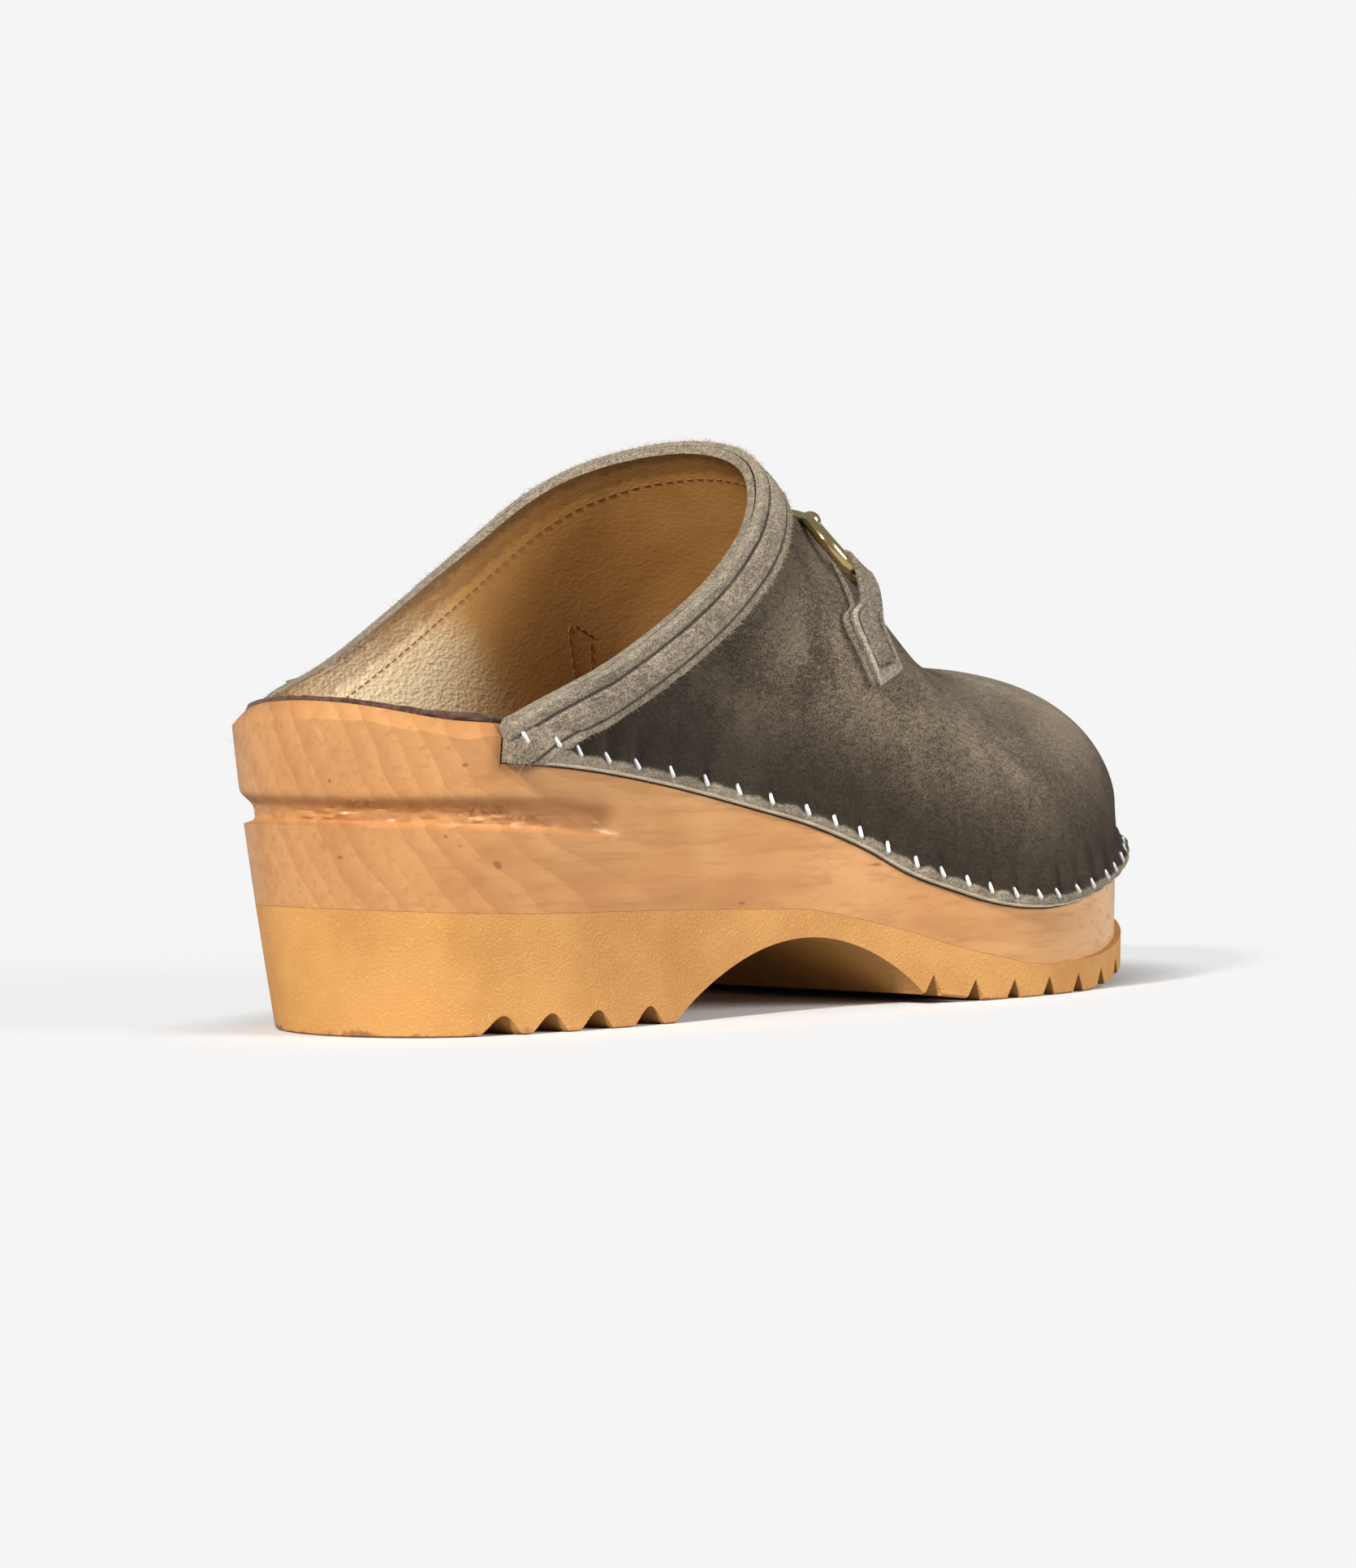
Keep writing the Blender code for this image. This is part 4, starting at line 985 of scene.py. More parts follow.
DARK_TAUPE = (0.052, 0.038, 0.026, 1.0)
LIGHT_TAUPE = (0.310, 0.248, 0.176, 1.0)
DEEP_TAUPE = (0.026, 0.019, 0.013, 1.0)
PRESSED_STRIP = ((0.190, 0.157, 0.114, 1.0), (0.460, 0.392, 0.298, 1.0))
CREAM_EDGE_AND_HIGHLIGHT = (0.88, 0.80, 0.64, 1.0)
TAN = (0.640, 0.335, 0.105, 1.0)
DEEP_TAN = (0.540, 0.262, 0.072, 1.0)
PAINTED_LIGHT_TAN = (0.820, 0.670, 0.440, 1.0)
BORDER_BROWN = (0.20, 0.095, 0.032, 1.0)
LIP_BROWN = (0.09, 0.045, 0.022, 1.0)


def nap_group():
    """Brushed nap: fine fleck, soft patches where the nap lies over, and faint scratches, as a share
    of light colour and as a height."""
    tree = bpy.data.node_groups.new("brushed_nap", "ShaderNodeTree")
    for name, kind in (("Place", "NodeSocketVector"), ("Fleck Scale", "NodeSocketFloat"),
                       ("Patch Scale", "NodeSocketFloat"), ("Patch Share", "NodeSocketFloat")):
        tree.interface.new_socket(name=name, in_out="INPUT", socket_type=kind)
    tree.interface.new_socket(name="Light Share", in_out="OUTPUT", socket_type="NodeSocketFloat")
    tree.interface.new_socket(name="Height", in_out="OUTPUT", socket_type="NodeSocketFloat")
    given = node(tree, "NodeGroupInput").outputs
    fleck = noise(given["Place"], given["Fleck Scale"], 2.0, 0.8)
    lain = scaled(given["Place"], (0.6, 1.0, 1.5))
    fibre = noise(lain, times(given["Fleck Scale"], 0.33), 2.0, 0.7)
    patch = noise(given["Place"], given["Patch Scale"], 2.0, 0.6, 0.8)
    scratch = noise(scaled(given["Place"], (0.25, 1.0, 1.6), (0.3, 0.1, 0.2)),
                    times(given["Patch Scale"], 3.0), 2.0, 0.5, 1.6)
    line = spread(maths("ABSOLUTE", minus(scratch, 0.5)), 0.012, 0.0)
    share = scale_add(minus(fleck, 0.5), 2.9, 0.40)
    share = scale_add(minus(fibre, 0.5), 1.2, share)
    share = scale_add(minus(patch, 0.5), given["Patch Share"], share)
    share = scale_add(line, 0.10, share)
    height = scale_add(fibre, 0.8, fleck)
    node(tree, "NodeGroupOutput", {"Light Share": spread(share, -0.1, 1.1), "Height": height})
    return tree


BRUSHED_NAP = nap_group()


def nap(place, dark, light, fleck=2500.0, patch=36.0, patch_share=1.5):
    """The brushed nap in a material: its colour, its height and its share of light colour."""
    given = {"Place": place, "Fleck Scale": fleck, "Patch Scale": patch, "Patch Share": patch_share}
    made = node(home(place), "ShaderNodeGroup", given, node_tree=BRUSHED_NAP)
    share = made.outputs["Light Share"]
    return blend(share, dark, light), made.outputs["Height"], share


def taupe_suede():
    """Dark brushed nap, lightened over the toe's top by painted light, darkened under the binding by painted
    shade and down towards the staples by grime and painted shade; the strip below them is pressed flat and
    pale, raised between the staples by painted light on the puckers, with a cream cut edge that a painted
    highlight brightens."""
    made, tree, place = new_finish("taupe_suede", Roughness=0.95, Sheen_Weight=0.14, Sheen_Roughness=0.45,
                                    Specular_IOR_Level=0.12, Sheen_Tint=(0.95, 0.86, 0.74, 1.0))
    colour, height, share = nap(place, DARK_TAUPE, LIGHT_TAUPE)
    above = stored(tree, "above_staples")
    x, y, z = split(place)
    # Painted light: the top of the vamp towards the toe is lightened, where light falls.
    painted_vamp_light = times(spread(x, 0.125, 0.190, 0.0, 0.34), spread(z, 0.030, 0.060))
    colour = blend(painted_vamp_light, colour, LIGHT_TAUPE)
    # Darker down towards the staples: partly grime on the leather, partly painted shade.
    ragged = scale_add(minus(noise(place, 300.0, 2.0), 0.5), 0.007, above)
    low = spread(ragged, 0.034, 0.004, 0.0, 0.88)
    colour = blend(low, colour, DEEP_TAUPE)
    # Painted shade: the vamp darkens towards the binding, as in the binding's shadow.
    collar = stored(tree, "from_collar")
    colour = blend(spread(collar, 0.036, 0.011, 0.0, 0.48), colour, DEEP_TAUPE)
    # The pressed strip below the staples is paler leather; where it rises between the staples over the
    # puckers it is painted light.
    flange = spread(scale_add(minus(ragged, above), 0.25, above), 0.0, -0.0009)
    colour = blend(flange, colour, blend(share, *PRESSED_STRIP))
    # The cut edge is pale leather, brightened further by a painted highlight where its bevel would catch the
    # light.
    edge = stored(tree, "above_edge")
    colour = blend(spread(edge, 0.00066, 0.00044), colour, CREAM_EDGE_AND_HIGHLIGHT)
    return dress(made, colour, relief(height, 0.00050, 0.9))


def smooth_lining():
    """Tan lining leather: slow colour change, a dark ragged border under the collar, and a paler, wrinkled
    patch low towards the heel, whose paleness is painted light."""
    made, tree, place = new_finish("smooth_lining", Roughness=0.42, Specular_IOR_Level=0.5)
    x, y, z = split(place)
    cloud = noise(place, 35.0, 3.0, 0.55)
    colour = blend(spread(cloud, 0.35, 0.7), TAN, DEEP_TAN)
    # Painted light: a pale pool low towards the heel, where the lamp shines in over the heel.
    drift = scale_add(minus(cloud, 0.5), 0.040, z)
    painted_light_patch = times(spread(drift, 0.084, 0.066), spread(x, 0.072, 0.030))
    painted_light_patch = times(painted_light_patch, spread(x, -0.022, 0.006))
    colour = blend(times(painted_light_patch, 0.85), colour, PAINTED_LIGHT_TAN)
    under = stored(tree, "from_collar")
    wavy = scale_add(minus(noise(place, 420.0), 0.5), 0.0036, under)
    border = spread(wavy, 0.0072, 0.0052)
    colour = blend(times(border, 0.55), colour, BORDER_BROWN)
    lip = spread(wavy, 0.0034, 0.0010)
    colour = blend(times(lip, 0.6), colour, LIP_BROWN)
    cells = node(tree, "ShaderNodeTexVoronoi", {"Vector": scaled(place, (1.0, 1.0, 1.5)), "Scale": 900.0},
                 feature="SMOOTH_F1")
    wrinkle = noise(scaled(place, (0.7, 1.0, 1.7)), 430.0, 2.0, 0.6, 0.9)
    low = scale_add(painted_light_patch, 0.85, 0.15)
    height = times(scale_add(cells.outputs["Distance"], 0.7, wrinkle), low)
    return dress(made, colour, relief(height, 0.0005, 0.8), spread(wrinkle, 0.3, 0.7, 0.36, 0.50))


def cut_suede():
    """The raw cut edge of the suede: pale, fibrous, two layers thick at the collar."""
    made, tree, place = new_finish("cut_suede", Roughness=0.95, Sheen_Weight=0.15, Specular_IOR_Level=0.1)
    colour, height, _ = nap(place, (0.150, 0.120, 0.086, 1.0), (0.420, 0.350, 0.255, 1.0), 1900.0, 120.0, 0.8)
    return dress(made, colour, relief(height, 0.0004, 0.9))


def collar_edge(side, count=260):
    """Dense points of the collar's edge on one side, from the cut edge at its foot to the apex."""
    foot = strip_point(np.full(24, index_at(COLLAR_START, side)), np.linspace(0.0, 1.0, 24))
    angles = np.linspace(0.0, math.pi / 2, count)
    return np.vstack([foot, section_point(index_at(collar_x(angles, side), side), angles)])


edges = np.vstack([collar_edge(LATERAL), collar_edge(MEDIAL)])
near_collar = np.full(len(base_points), 0.05)
close = np.where(base_points[:, 0] < COLLAR_APEX + 0.03)[0]
for chunk in np.array_split(close, 60):
    gap_to = np.linalg.norm(base_points[chunk][:, None] - edges[None, ::3], axis=2)
    near_collar[chunk] = gap_to.min(axis=1)
points, faces, kind = two_skins(outer_points, inner_points, base_faces)
edge_finish = cut_suede()
upper = put_mesh("suede_upper", points, faces, [taupe_suede(), smooth_lining(), edge_finish],
                 face_finish=kind, sharp=50)
point_values(upper, "above_staples", np.tile(mark.reshape(-1)[first_of], 2))
point_values(upper, "above_edge", np.tile(above_edge.reshape(-1)[first_of], 2))
point_values(upper, "from_collar", np.tile(near_collar, 2))
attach(upper, "root")
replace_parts(upper, "upper")

# Collar binding
# A strip of lighter suede folded round the collar's edge and sewn through with two rows of dark
# thread, whose stitches sink in. Its cut edges stay raw and hairy.

BAND_WIDTH = 0.0112
BAND_THICK = 0.0016
SEAM_TOP = 0.0029
SEAM_LOW = 0.0090
BAND_HALF_ROWS = 190
BAND_REST = 0.00006
STITCH_PITCH = 0.0030
STITCH_START = 0.0022
STITCH_LENGTH = 0.0024
STITCH_RADIUS = 0.00022


def band_line(side):
    """The collar's edge on one side, carried straight on below the wood's rim."""
    angles = np.linspace(0.0, math.pi / 2, 200)
    line = section_point(index_at(collar_x(angles, side), side), angles)
    run = line[0] - line[6]
    run = unit(run)
    return np.vstack([line[0] + run * np.linspace(0.020, 0.0005, 20)[:, None], line])


def collar_grid(distances, side, count):
    """Points of the leather at set distances from the collar's edge, along rows from the foot of the
    collar to the ridge, and those distances. A row that starts further off is squeezed up."""
    line = band_line(side)
    rows = np.concatenate([np.linspace(-1.0, 0.0, count // 8, endpoint=False), np.linspace(0.0, 1.0, count)])
    starts = upper_start(rows, side)
    xs = starts[:, None] + np.linspace(0.0, 4 * BAND_WIDTH, 70)[None, :]
    points = row_point(index_at(xs, side), rows[:, None] + 0 * xs)
    away = np.stack([np.linalg.norm(row[:, None] - line[None], axis=2).min(axis=1) for row in points])
    away[rows >= 0, 0] = 0.0
    wanted = away[:, :1] + (distances[-1] - away[:, :1]) * distances / distances[-1]
    found = np.stack([np.interp(w, a, x) for w, a, x in zip(wanted, away, xs)])
    return row_point(index_at(found, side), rows[:, None] + 0 * found), wanted


def band_skin(distances, count):
    """The same grid from the lateral foot over the apex to the medial foot, its normals and its
    distances from the collar's edge."""
    both = [collar_grid(distances, side, count) for side in (LATERAL, MEDIAL)]
    grid = np.vstack([both[0][0], both[1][0][-2::-1]])
    away = np.vstack([both[0][1], both[1][1][-2::-1]])
    along = np.gradient(grid, axis=0)
    across = np.gradient(grid, axis=1)
    normal = np.cross(along, across)
    normal = unit(normal)
    if (normal[len(normal) // 2, :, 2]).mean() < 0:
        normal = -normal
    return grid, normal, away


across = np.concatenate([[0.0, 0.00012, 0.0003, 0.0006, 0.001], np.linspace(0.0014, 0.0101, 27),
                         [0.0105, 0.0108, 0.0110, BAND_WIDTH]])
band_grid, band_normal, across = band_skin(across, BAND_HALF_ROWS)
round_edge = np.minimum(across, BAND_WIDTH - across)
body = np.sqrt(np.clip(1 - (1 - np.clip(round_edge / 0.0007, 0, 1))**2, 0, 1))
groove = 0.55 * hump(across, SEAM_TOP, 0.00040)
groove += 0.42 * hump(across, SEAM_LOW, 0.00034)
swell = 0.22 * np.sin(math.pi * np.clip((across - SEAM_TOP) / (SEAM_LOW - SEAM_TOP), 0, 1))
selvedge = -0.25 * ramp(across, SEAM_LOW, SEAM_LOW + 0.0006)
profile = BAND_THICK * (0.12 + 0.88 * body) + 0.001 * (swell + selvedge * 0.8 - groove)
noise_rows = np.stack([wander(band_grid.shape[0], 5, 70 + k) for k in range(across.shape[1])], axis=1)
lift = BAND_REST + profile + 0.00005 * noise_rows
outside = band_grid + band_normal * lift[..., None]
ragged = 0.00022 * wander(band_grid.shape[0], 3, 9)[:, None]
downward = np.gradient(band_grid, axis=1)
downward = unit(downward)
edge_share = np.where(across > 0.0101, (across - 0.0101) / 0.0011, 0.0)
outside += downward * (ragged * edge_share)[..., None]
underside = band_grid + band_normal * BAND_REST
band_faces = grid_triangles(*band_grid.shape[:2])
points, faces, _ = two_skins(outside.reshape(-1, 3), underside.reshape(-1, 3), band_faces)


def binding_suede():
    """Lighter brushed nap, paler on the raw edges and dark down in the two seams."""
    made, tree, place = new_finish("binding_suede", Roughness=0.95, Sheen_Weight=0.16, Sheen_Roughness=0.5,
                                    Specular_IOR_Level=0.12)
    colour, height, share = nap(place, (0.155, 0.124, 0.091, 1.0), (0.500, 0.412, 0.304, 1.0),
                                2100.0, 70.0, 0.8)
    down = stored(tree, "down_band")
    pale = blend(share, (0.180, 0.146, 0.106, 1.0), (0.480, 0.403, 0.300, 1.0))
    edge = maths("MAXIMUM", spread(down, 0.0026, 0.0012), spread(down, 0.0093, 0.0100))
    colour = blend(edge, colour, pale)
    for seam in (SEAM_TOP, SEAM_LOW):
        off = maths("ABSOLUTE", minus(down, seam))
        colour = blend(spread(off, 0.00048, 0.00012, 0.0, 0.80), colour, (0.035, 0.027, 0.020, 1.0))
    return dress(made, colour, relief(height, 0.00055, 0.9))


band = put_mesh("collar_binding", points, faces, [binding_suede()], sharp=60)
point_values(band, "down_band", np.tile(across.reshape(-1), 2))
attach(band, "root")
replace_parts(band, "collar_band")


def capsules(centres, along, out, length, radius, rings=6, sides=8):
    """Rounded sticks: each point of one capsule, a circle swept along a half-round ended line, placed
    by its stick's own three directions. One joined mesh."""
    turn = np.linspace(0.0, math.pi, rings)
    spin = np.linspace(0.0, 2 * math.pi, sides, endpoint=False)
    reach = np.where(turn < math.pi / 2, 1, -1) * (length / 2 - radius) + radius * np.cos(turn)
    reach[0], reach[-1] = length / 2, -length / 2
    wide = radius * np.sin(turn) + 1e-7
    side = np.cross(out, along)
    side = unit(side)
    up = np.cross(along, side)
    shape_a = np.repeat(reach, sides)
    shape_s = (wide[:, None] * np.cos(spin)[None]).reshape(-1)
    shape_u = (wide[:, None] * np.sin(spin)[None]).reshape(-1)
    points = (centres[:, None] + along[:, None] * shape_a[None, :, None]
              + side[:, None] * shape_s[None, :, None] + up[:, None] * shape_u[None, :, None])
    one = grid_triangles(rings, sides, closed=True)
    caps = [[0, k + 1, k] for k in range(1, sides - 1)]
    last = (rings - 1) * sides
    caps += [[last, last + k, last + k + 1] for k in range(1, sides - 1)]
    one = np.concatenate([one, np.array(caps)])
    faces = one[None] + (np.arange(len(centres)) * rings * sides)[:, None, None]
    return points.reshape(-1, 3), faces.reshape(-1, 3)


def line_walk(line, step, start=0.0):
    """Places at equal steps along a line of points, as fractional indices."""
    far = length_so_far(line)
    return np.interp(np.arange(start, far[-1] - start, step), far, np.arange(len(line)))


def at_rows(values, index):
    """Values of a line at fractional indices."""
    low = np.clip(np.floor(index).astype(int), 0, len(values) - 2)
    t = (index - low)[:, None]
    return values[low] * (1 - t) + values[low + 1] * t


def together(parts):
    """Several meshes of points and faces as one: each one's faces count on from the points before."""
    starts = np.cumsum([0] + [len(points) for points, _ in parts])
    return (np.vstack([points for points, _ in parts]),
            np.vstack([faces + start for (_, faces), start in zip(parts, starts)]))


threads = []
for seam in (SEAM_TOP, SEAM_LOW):
    rows_here = np.arange(len(across))[across[:, 0] < seam]
    column = np.array([np.argmin(abs(across[k] - seam)) for k in rows_here])
    out = band_normal[rows_here, column]
    line = band_grid[rows_here, column] + out * (BAND_REST + BAND_THICK - 0.00045)
    steps = line_walk(line, STITCH_PITCH, STITCH_START)
    places, normals = at_rows(line, steps), at_rows(out, steps)
    ahead_dir = unit(at_rows(np.gradient(line, axis=0), steps))
    threads.append(capsules(places, ahead_dir, normals, STITCH_LENGTH, STITCH_RADIUS))
thread, tree, place = new_finish("dark_thread", Roughness=0.7)
twist = noise(place, 3000.0, 2.0)
dress(thread, blend(twist, (0.03, 0.023, 0.017, 1.0), (0.10, 0.08, 0.06, 1.0)), relief(twist, 0.0001, 0.6))
seams = put_mesh("binding_stitches", *together(threads), [thread])
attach(seams, "root")

# Staples
# Bright steel wire staples hold the leather to the wood, about 8 mm apart round the toe and 11 mm
# apart beside the heel. Only the crown of each shows, leaning back towards the heel.

STAPLE_LENGTH = 0.0029
STAPLE_WIRE = 0.00058
STAPLE_LEAN = 32.0
STAPLE_LEAN_SPREAD = 9.0
index = staple_index
x = outline_point(index)[:, 0]
up = staple_up(x)
centre = strip_point(index, up)
on_band = x < COLLAR_START + 0.0118
out = np.column_stack([outline_point(index, 1.0) - outline_point(index), np.zeros(len(index))])
out[:, 2] = 0.25
out = unit(out)
sink = np.where(on_band, BAND_REST + BAND_THICK - 0.0001, -PUCKER_IN * 0.80)
centre = centre + out * sink[:, None]
along_edge = strip_point(index + 0.5, up) - strip_point(index - 0.5, up)
along_edge = unit(along_edge)
heel_ward = np.where(np.arange(len(index)) < len(index) / 2, -1.0, 1.0)[:, None] * along_edge
upright = np.cross(along_edge, out)
upright *= np.sign(upright[:, 2])[:, None]
uneven = STAPLE_LEAN_SPREAD * np.random.default_rng(8).uniform(-1, 1, len(index))
lean = np.radians(STAPLE_LEAN + uneven)[:, None]
direction = upright * np.cos(lean) + heel_ward * np.sin(lean)
points, faces = capsules(centre, direction, out, STAPLE_LENGTH, STAPLE_WIRE, rings=9, sides=10)
steel, tree, place = new_finish("bright_steel", Roughness=0.45, Metallic=0.8)
rub = noise(place, 1400.0, 3.0)
dress(steel, blend(rub, (0.90, 0.91, 0.92, 1.0), (1.0, 1.0, 1.0, 1.0)),
      roughness=spread(rub, 0.3, 0.7, 0.36, 0.55))
staples = put_mesh("steel_staples", points, faces, [steel])
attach(staples, "root")

# Metal bit
# A pale gold plated casting: two rings joined by an arched bar, with a round boss where they meet.
# Each ring is held by a tab of folded suede.

BIT_AHEAD = 0.0031
BIT_LIFT = 0.0028
RING_REACH = 0.0325
RING_RADIUS = 0.0078
RING_WIRE = 0.0014
BAR_WIRE = 0.0013
KNOB_RADIUS = 0.0023
KNOB_LIFT = 0.0017
BAR_SAG = 0.0060
BAR_STATIONS = 81
BAR_SIDES = 20

xs = np.linspace(COLLAR_APEX, COLLAR_APEX + 4 * BAND_WIDTH, 200)
ridge_line = smooth(SECTIONS, RIDGE, LENGTH, INSTEP_HEIGHT, xs)
BIT_ALONG = float(np.interp(BAND_WIDTH + BIT_AHEAD, np.hypot(xs - xs[0], ridge_line - ridge_line[0]), xs))


def skin_line(x, side):
    """Dense line of the upper's outside at x from the ridge down one side, and its length so far."""
    line = section_point(np.full(500, index_at(x, side)), np.linspace(math.pi / 2, 0.0, 500))
    return line, length_so_far(line)


def skin_patch(stations, reaches, side):
    """Points of the skin on a grid of stations along the shoe and reaches down from the ridge, and
    their normals."""
    rows = []
    for x in stations:
        line, far = skin_line(x, side)
        rows.append(np.stack([np.interp(reaches, far, line[:, k]) for k in range(3)], axis=1))
    grid = np.array(rows)
    normal = np.cross(np.gradient(grid, axis=0), np.gradient(grid, axis=1)) * side
    return grid, unit(normal)


def on_patch(values, stations, reaches, x, reach):
    """Values of a patch's grid at any x and reach, mixed from the four nearest."""
    i = np.clip((x - stations[0]) / (stations[1] - stations[0]), 0, len(stations) - 1.001)
    j = np.clip((reach - reaches[0]) / (reaches[1] - reaches[0]), 0, len(reaches) - 1.001)
    a, b = np.floor(i).astype(int), np.floor(j).astype(int)
    s, t = (i - a)[..., None], (j - b)[..., None]
    near = values[a, b] * (1 - t) + values[a, b + 1] * t
    far = values[a + 1, b] * (1 - t) + values[a + 1, b + 1] * t
    return near * (1 - s) + far * s


def tube(line, wire, sides, closed=False):
    """A round section carried along a line: two directions square to the line times cosine and sine."""
    ahead = np.roll(line, -1, axis=0) - np.roll(line, 1, axis=0) if closed else np.gradient(line, axis=0)
    ahead = unit(ahead)
    middle = line.mean(axis=0)
    out = line - middle
    out -= ahead * (out * ahead).sum(axis=1)[:, None]
    out = unit(out)
    up = np.cross(ahead, out)
    spin = np.linspace(0.0, 2 * math.pi, sides, endpoint=False)
    radius = np.broadcast_to(wire, len(line))[:, None, None]
    grid = line[:, None] + radius * (out[:, None] * np.cos(spin)[None, :, None]
                                     + up[:, None] * np.sin(spin)[None, :, None])
    if closed:
        grid = np.concatenate([grid, grid[:1]])
    return grid


def ring_place(side):
    """Centre, unit axes and radius of a ring of the bit, and its highest and lowest points."""
    stations = np.array([BIT_ALONG - 0.001, BIT_ALONG, BIT_ALONG + 0.001])
    reaches = np.array([RING_REACH - RING_RADIUS, RING_REACH, RING_REACH + RING_RADIUS])
    dense = np.sort(np.concatenate([reaches - 0.001, reaches, reaches + 0.001]))
    grid, normal = skin_patch(stations, dense, side)
    ends = [grid[1, k] + normal[1, k] * lift for k, lift in ((1, KNOB_LIFT), (7, BIT_LIFT))]
    down = ends[1] - ends[0]
    radius = np.linalg.norm(down) / 2
    down = unit(down)
    forward = grid[2, 4] - grid[0, 4]
    forward -= down * (forward @ down)
    return (ends[0] + ends[1]) / 2, down, unit(forward), radius, ends


bar_reach = np.linspace(-(RING_REACH - RING_RADIUS), RING_REACH - RING_RADIUS, BAR_STATIONS)
bar_line = np.zeros((BAR_STATIONS, 3))
for side in (LATERAL, MEDIAL):
    stations = np.linspace(BIT_ALONG - 0.001, BIT_ALONG + BAR_SAG + 0.001, 9)
    reaches = np.linspace(0.0, RING_REACH, 120)
    grid, normal = skin_patch(stations, reaches, side)
    mine = bar_reach * side >= 0
    here = BIT_ALONG + BAR_SAG * (1 - (bar_reach[mine] / bar_reach[-1])**2)
    bar_line[mine] = (on_patch(grid, stations, reaches, here, abs(bar_reach[mine]))
                      + on_patch(normal, stations, reaches, here, abs(bar_reach[mine])) * KNOB_LIFT)
bar_line[1:-1] = (bar_line[:-2] + bar_line[1:-1] * 2 + bar_line[2:]) / 4
grid = tube(bar_line, BAR_WIRE, BAR_SIDES)
castings = [(grid.reshape(-1, 3), grid_triangles(BAR_STATIONS, BAR_SIDES, closed=True))]
for side in (LATERAL, MEDIAL):
    centre, down, forward, radius, ends = ring_place(side)
    turn = np.linspace(0.0, 2 * math.pi, 96, endpoint=False)[:, None]
    hoop = centre + radius * (down * np.cos(turn) + forward * np.sin(turn))
    wire = RING_WIRE * (1 + 0.12 * np.cos(turn[:, 0] - math.pi)**8)
    grid = tube(hoop, wire, 24, closed=True)
    castings.append(joined(grid.reshape(-1, 3), grid_triangles(97, 24, closed=True))[:2])
    polar = np.linspace(0.0, math.pi, 22)[:, None]
    spin = np.linspace(0.0, 2 * math.pi, 32, endpoint=False)[None]
    boss = np.stack([np.sin(polar) * np.cos(spin), np.sin(polar) * np.sin(spin), np.cos(polar) + 0 * spin],
                    axis=-1)
    boss = (ends[0] + KNOB_RADIUS * boss).reshape(-1, 3)
    castings.append(joined(boss, grid_triangles(22, 32, closed=True))[:2])

gold, tree, place = new_finish("pale_gold", Roughness=0.12, Metallic=1.0)
wear = noise(place, 300.0, 3.0)
dress(gold, blend(wear, (0.86, 0.62, 0.27, 1.0), (0.93, 0.74, 0.40, 1.0)),
      roughness=spread(wear, 0.3, 0.75, 0.07, 0.20))
bit = put_mesh("gold_bit", *together(castings), [gold])
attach(bit, "root")
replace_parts(bit, "bit")

# Suede tabs
# Each ring hangs in a tab: a strap of suede folded round the ring, narrow there, with a lozenge end
# of two layers that lies on the vamp and is sewn down inside its edges.

SKIN_GAP = 0.00050
LAYER = 0.0016
NECK = 0.0010
TAB_LENGTH = 0.0200
SEWN_IN = 0.0019

# The two side edges of the strap in millimetres, from below the ring: along the shoe and downwards
TAB_EDGES = (
    # share of the length, heelward edge along and down, toeward edge along and down
    (0.00, -3.3, 0.0, 3.5, 0.0),
    (0.20, -3.6, 5.0, 3.2, 3.6),
    (0.38, -4.2, 9.2, 2.4, 6.8),
    (0.56, -8.6, 15.0, 1.8, 10.2),
    (0.78, -6.4, 21.0, 3.0, 14.2),
    (1.00, -3.6, 26.5, 4.4, 18.0),
)


def tab_path():
    """The folded strap in side view: distance down from the ring's lowest wire, height over the skin
    and thickness, along the under layer, round the wire, and down the upper layer."""
    down = np.concatenate([[1.0, 0.992], np.linspace(0.98, 0.10, 34)]) * TAB_LENGTH
    low = SKIN_GAP + LAYER / 2
    high = SKIN_GAP + LAYER * 1.5 + 0.0001
    turn = np.linspace(math.radians(250), math.radians(110), 13)
    wrap_down = 0.0021 * np.cos(turn)
    wrap_high = BIT_LIFT + 0.0021 * np.sin(turn)
    near = np.clip(1 - down / TAB_LENGTH, 0.0, 1.0)**2.4 / 0.9**2.4
    under = low * (1 - near) + wrap_high[0] * near
    over = high * (1 - near) + wrap_high[-1] * near
    path_down = np.concatenate([down, wrap_down, down[::-1]])
    path_high = np.concatenate([under, wrap_high, over[::-1]])
    ends = np.where(down > 0.99 * TAB_LENGTH, 0.55, 1.0)
    layer = (LAYER - (LAYER - NECK) * near) * ends
    thick = np.concatenate([layer, np.full(13, NECK), layer[::-1]])
    return path_down, path_high, thick


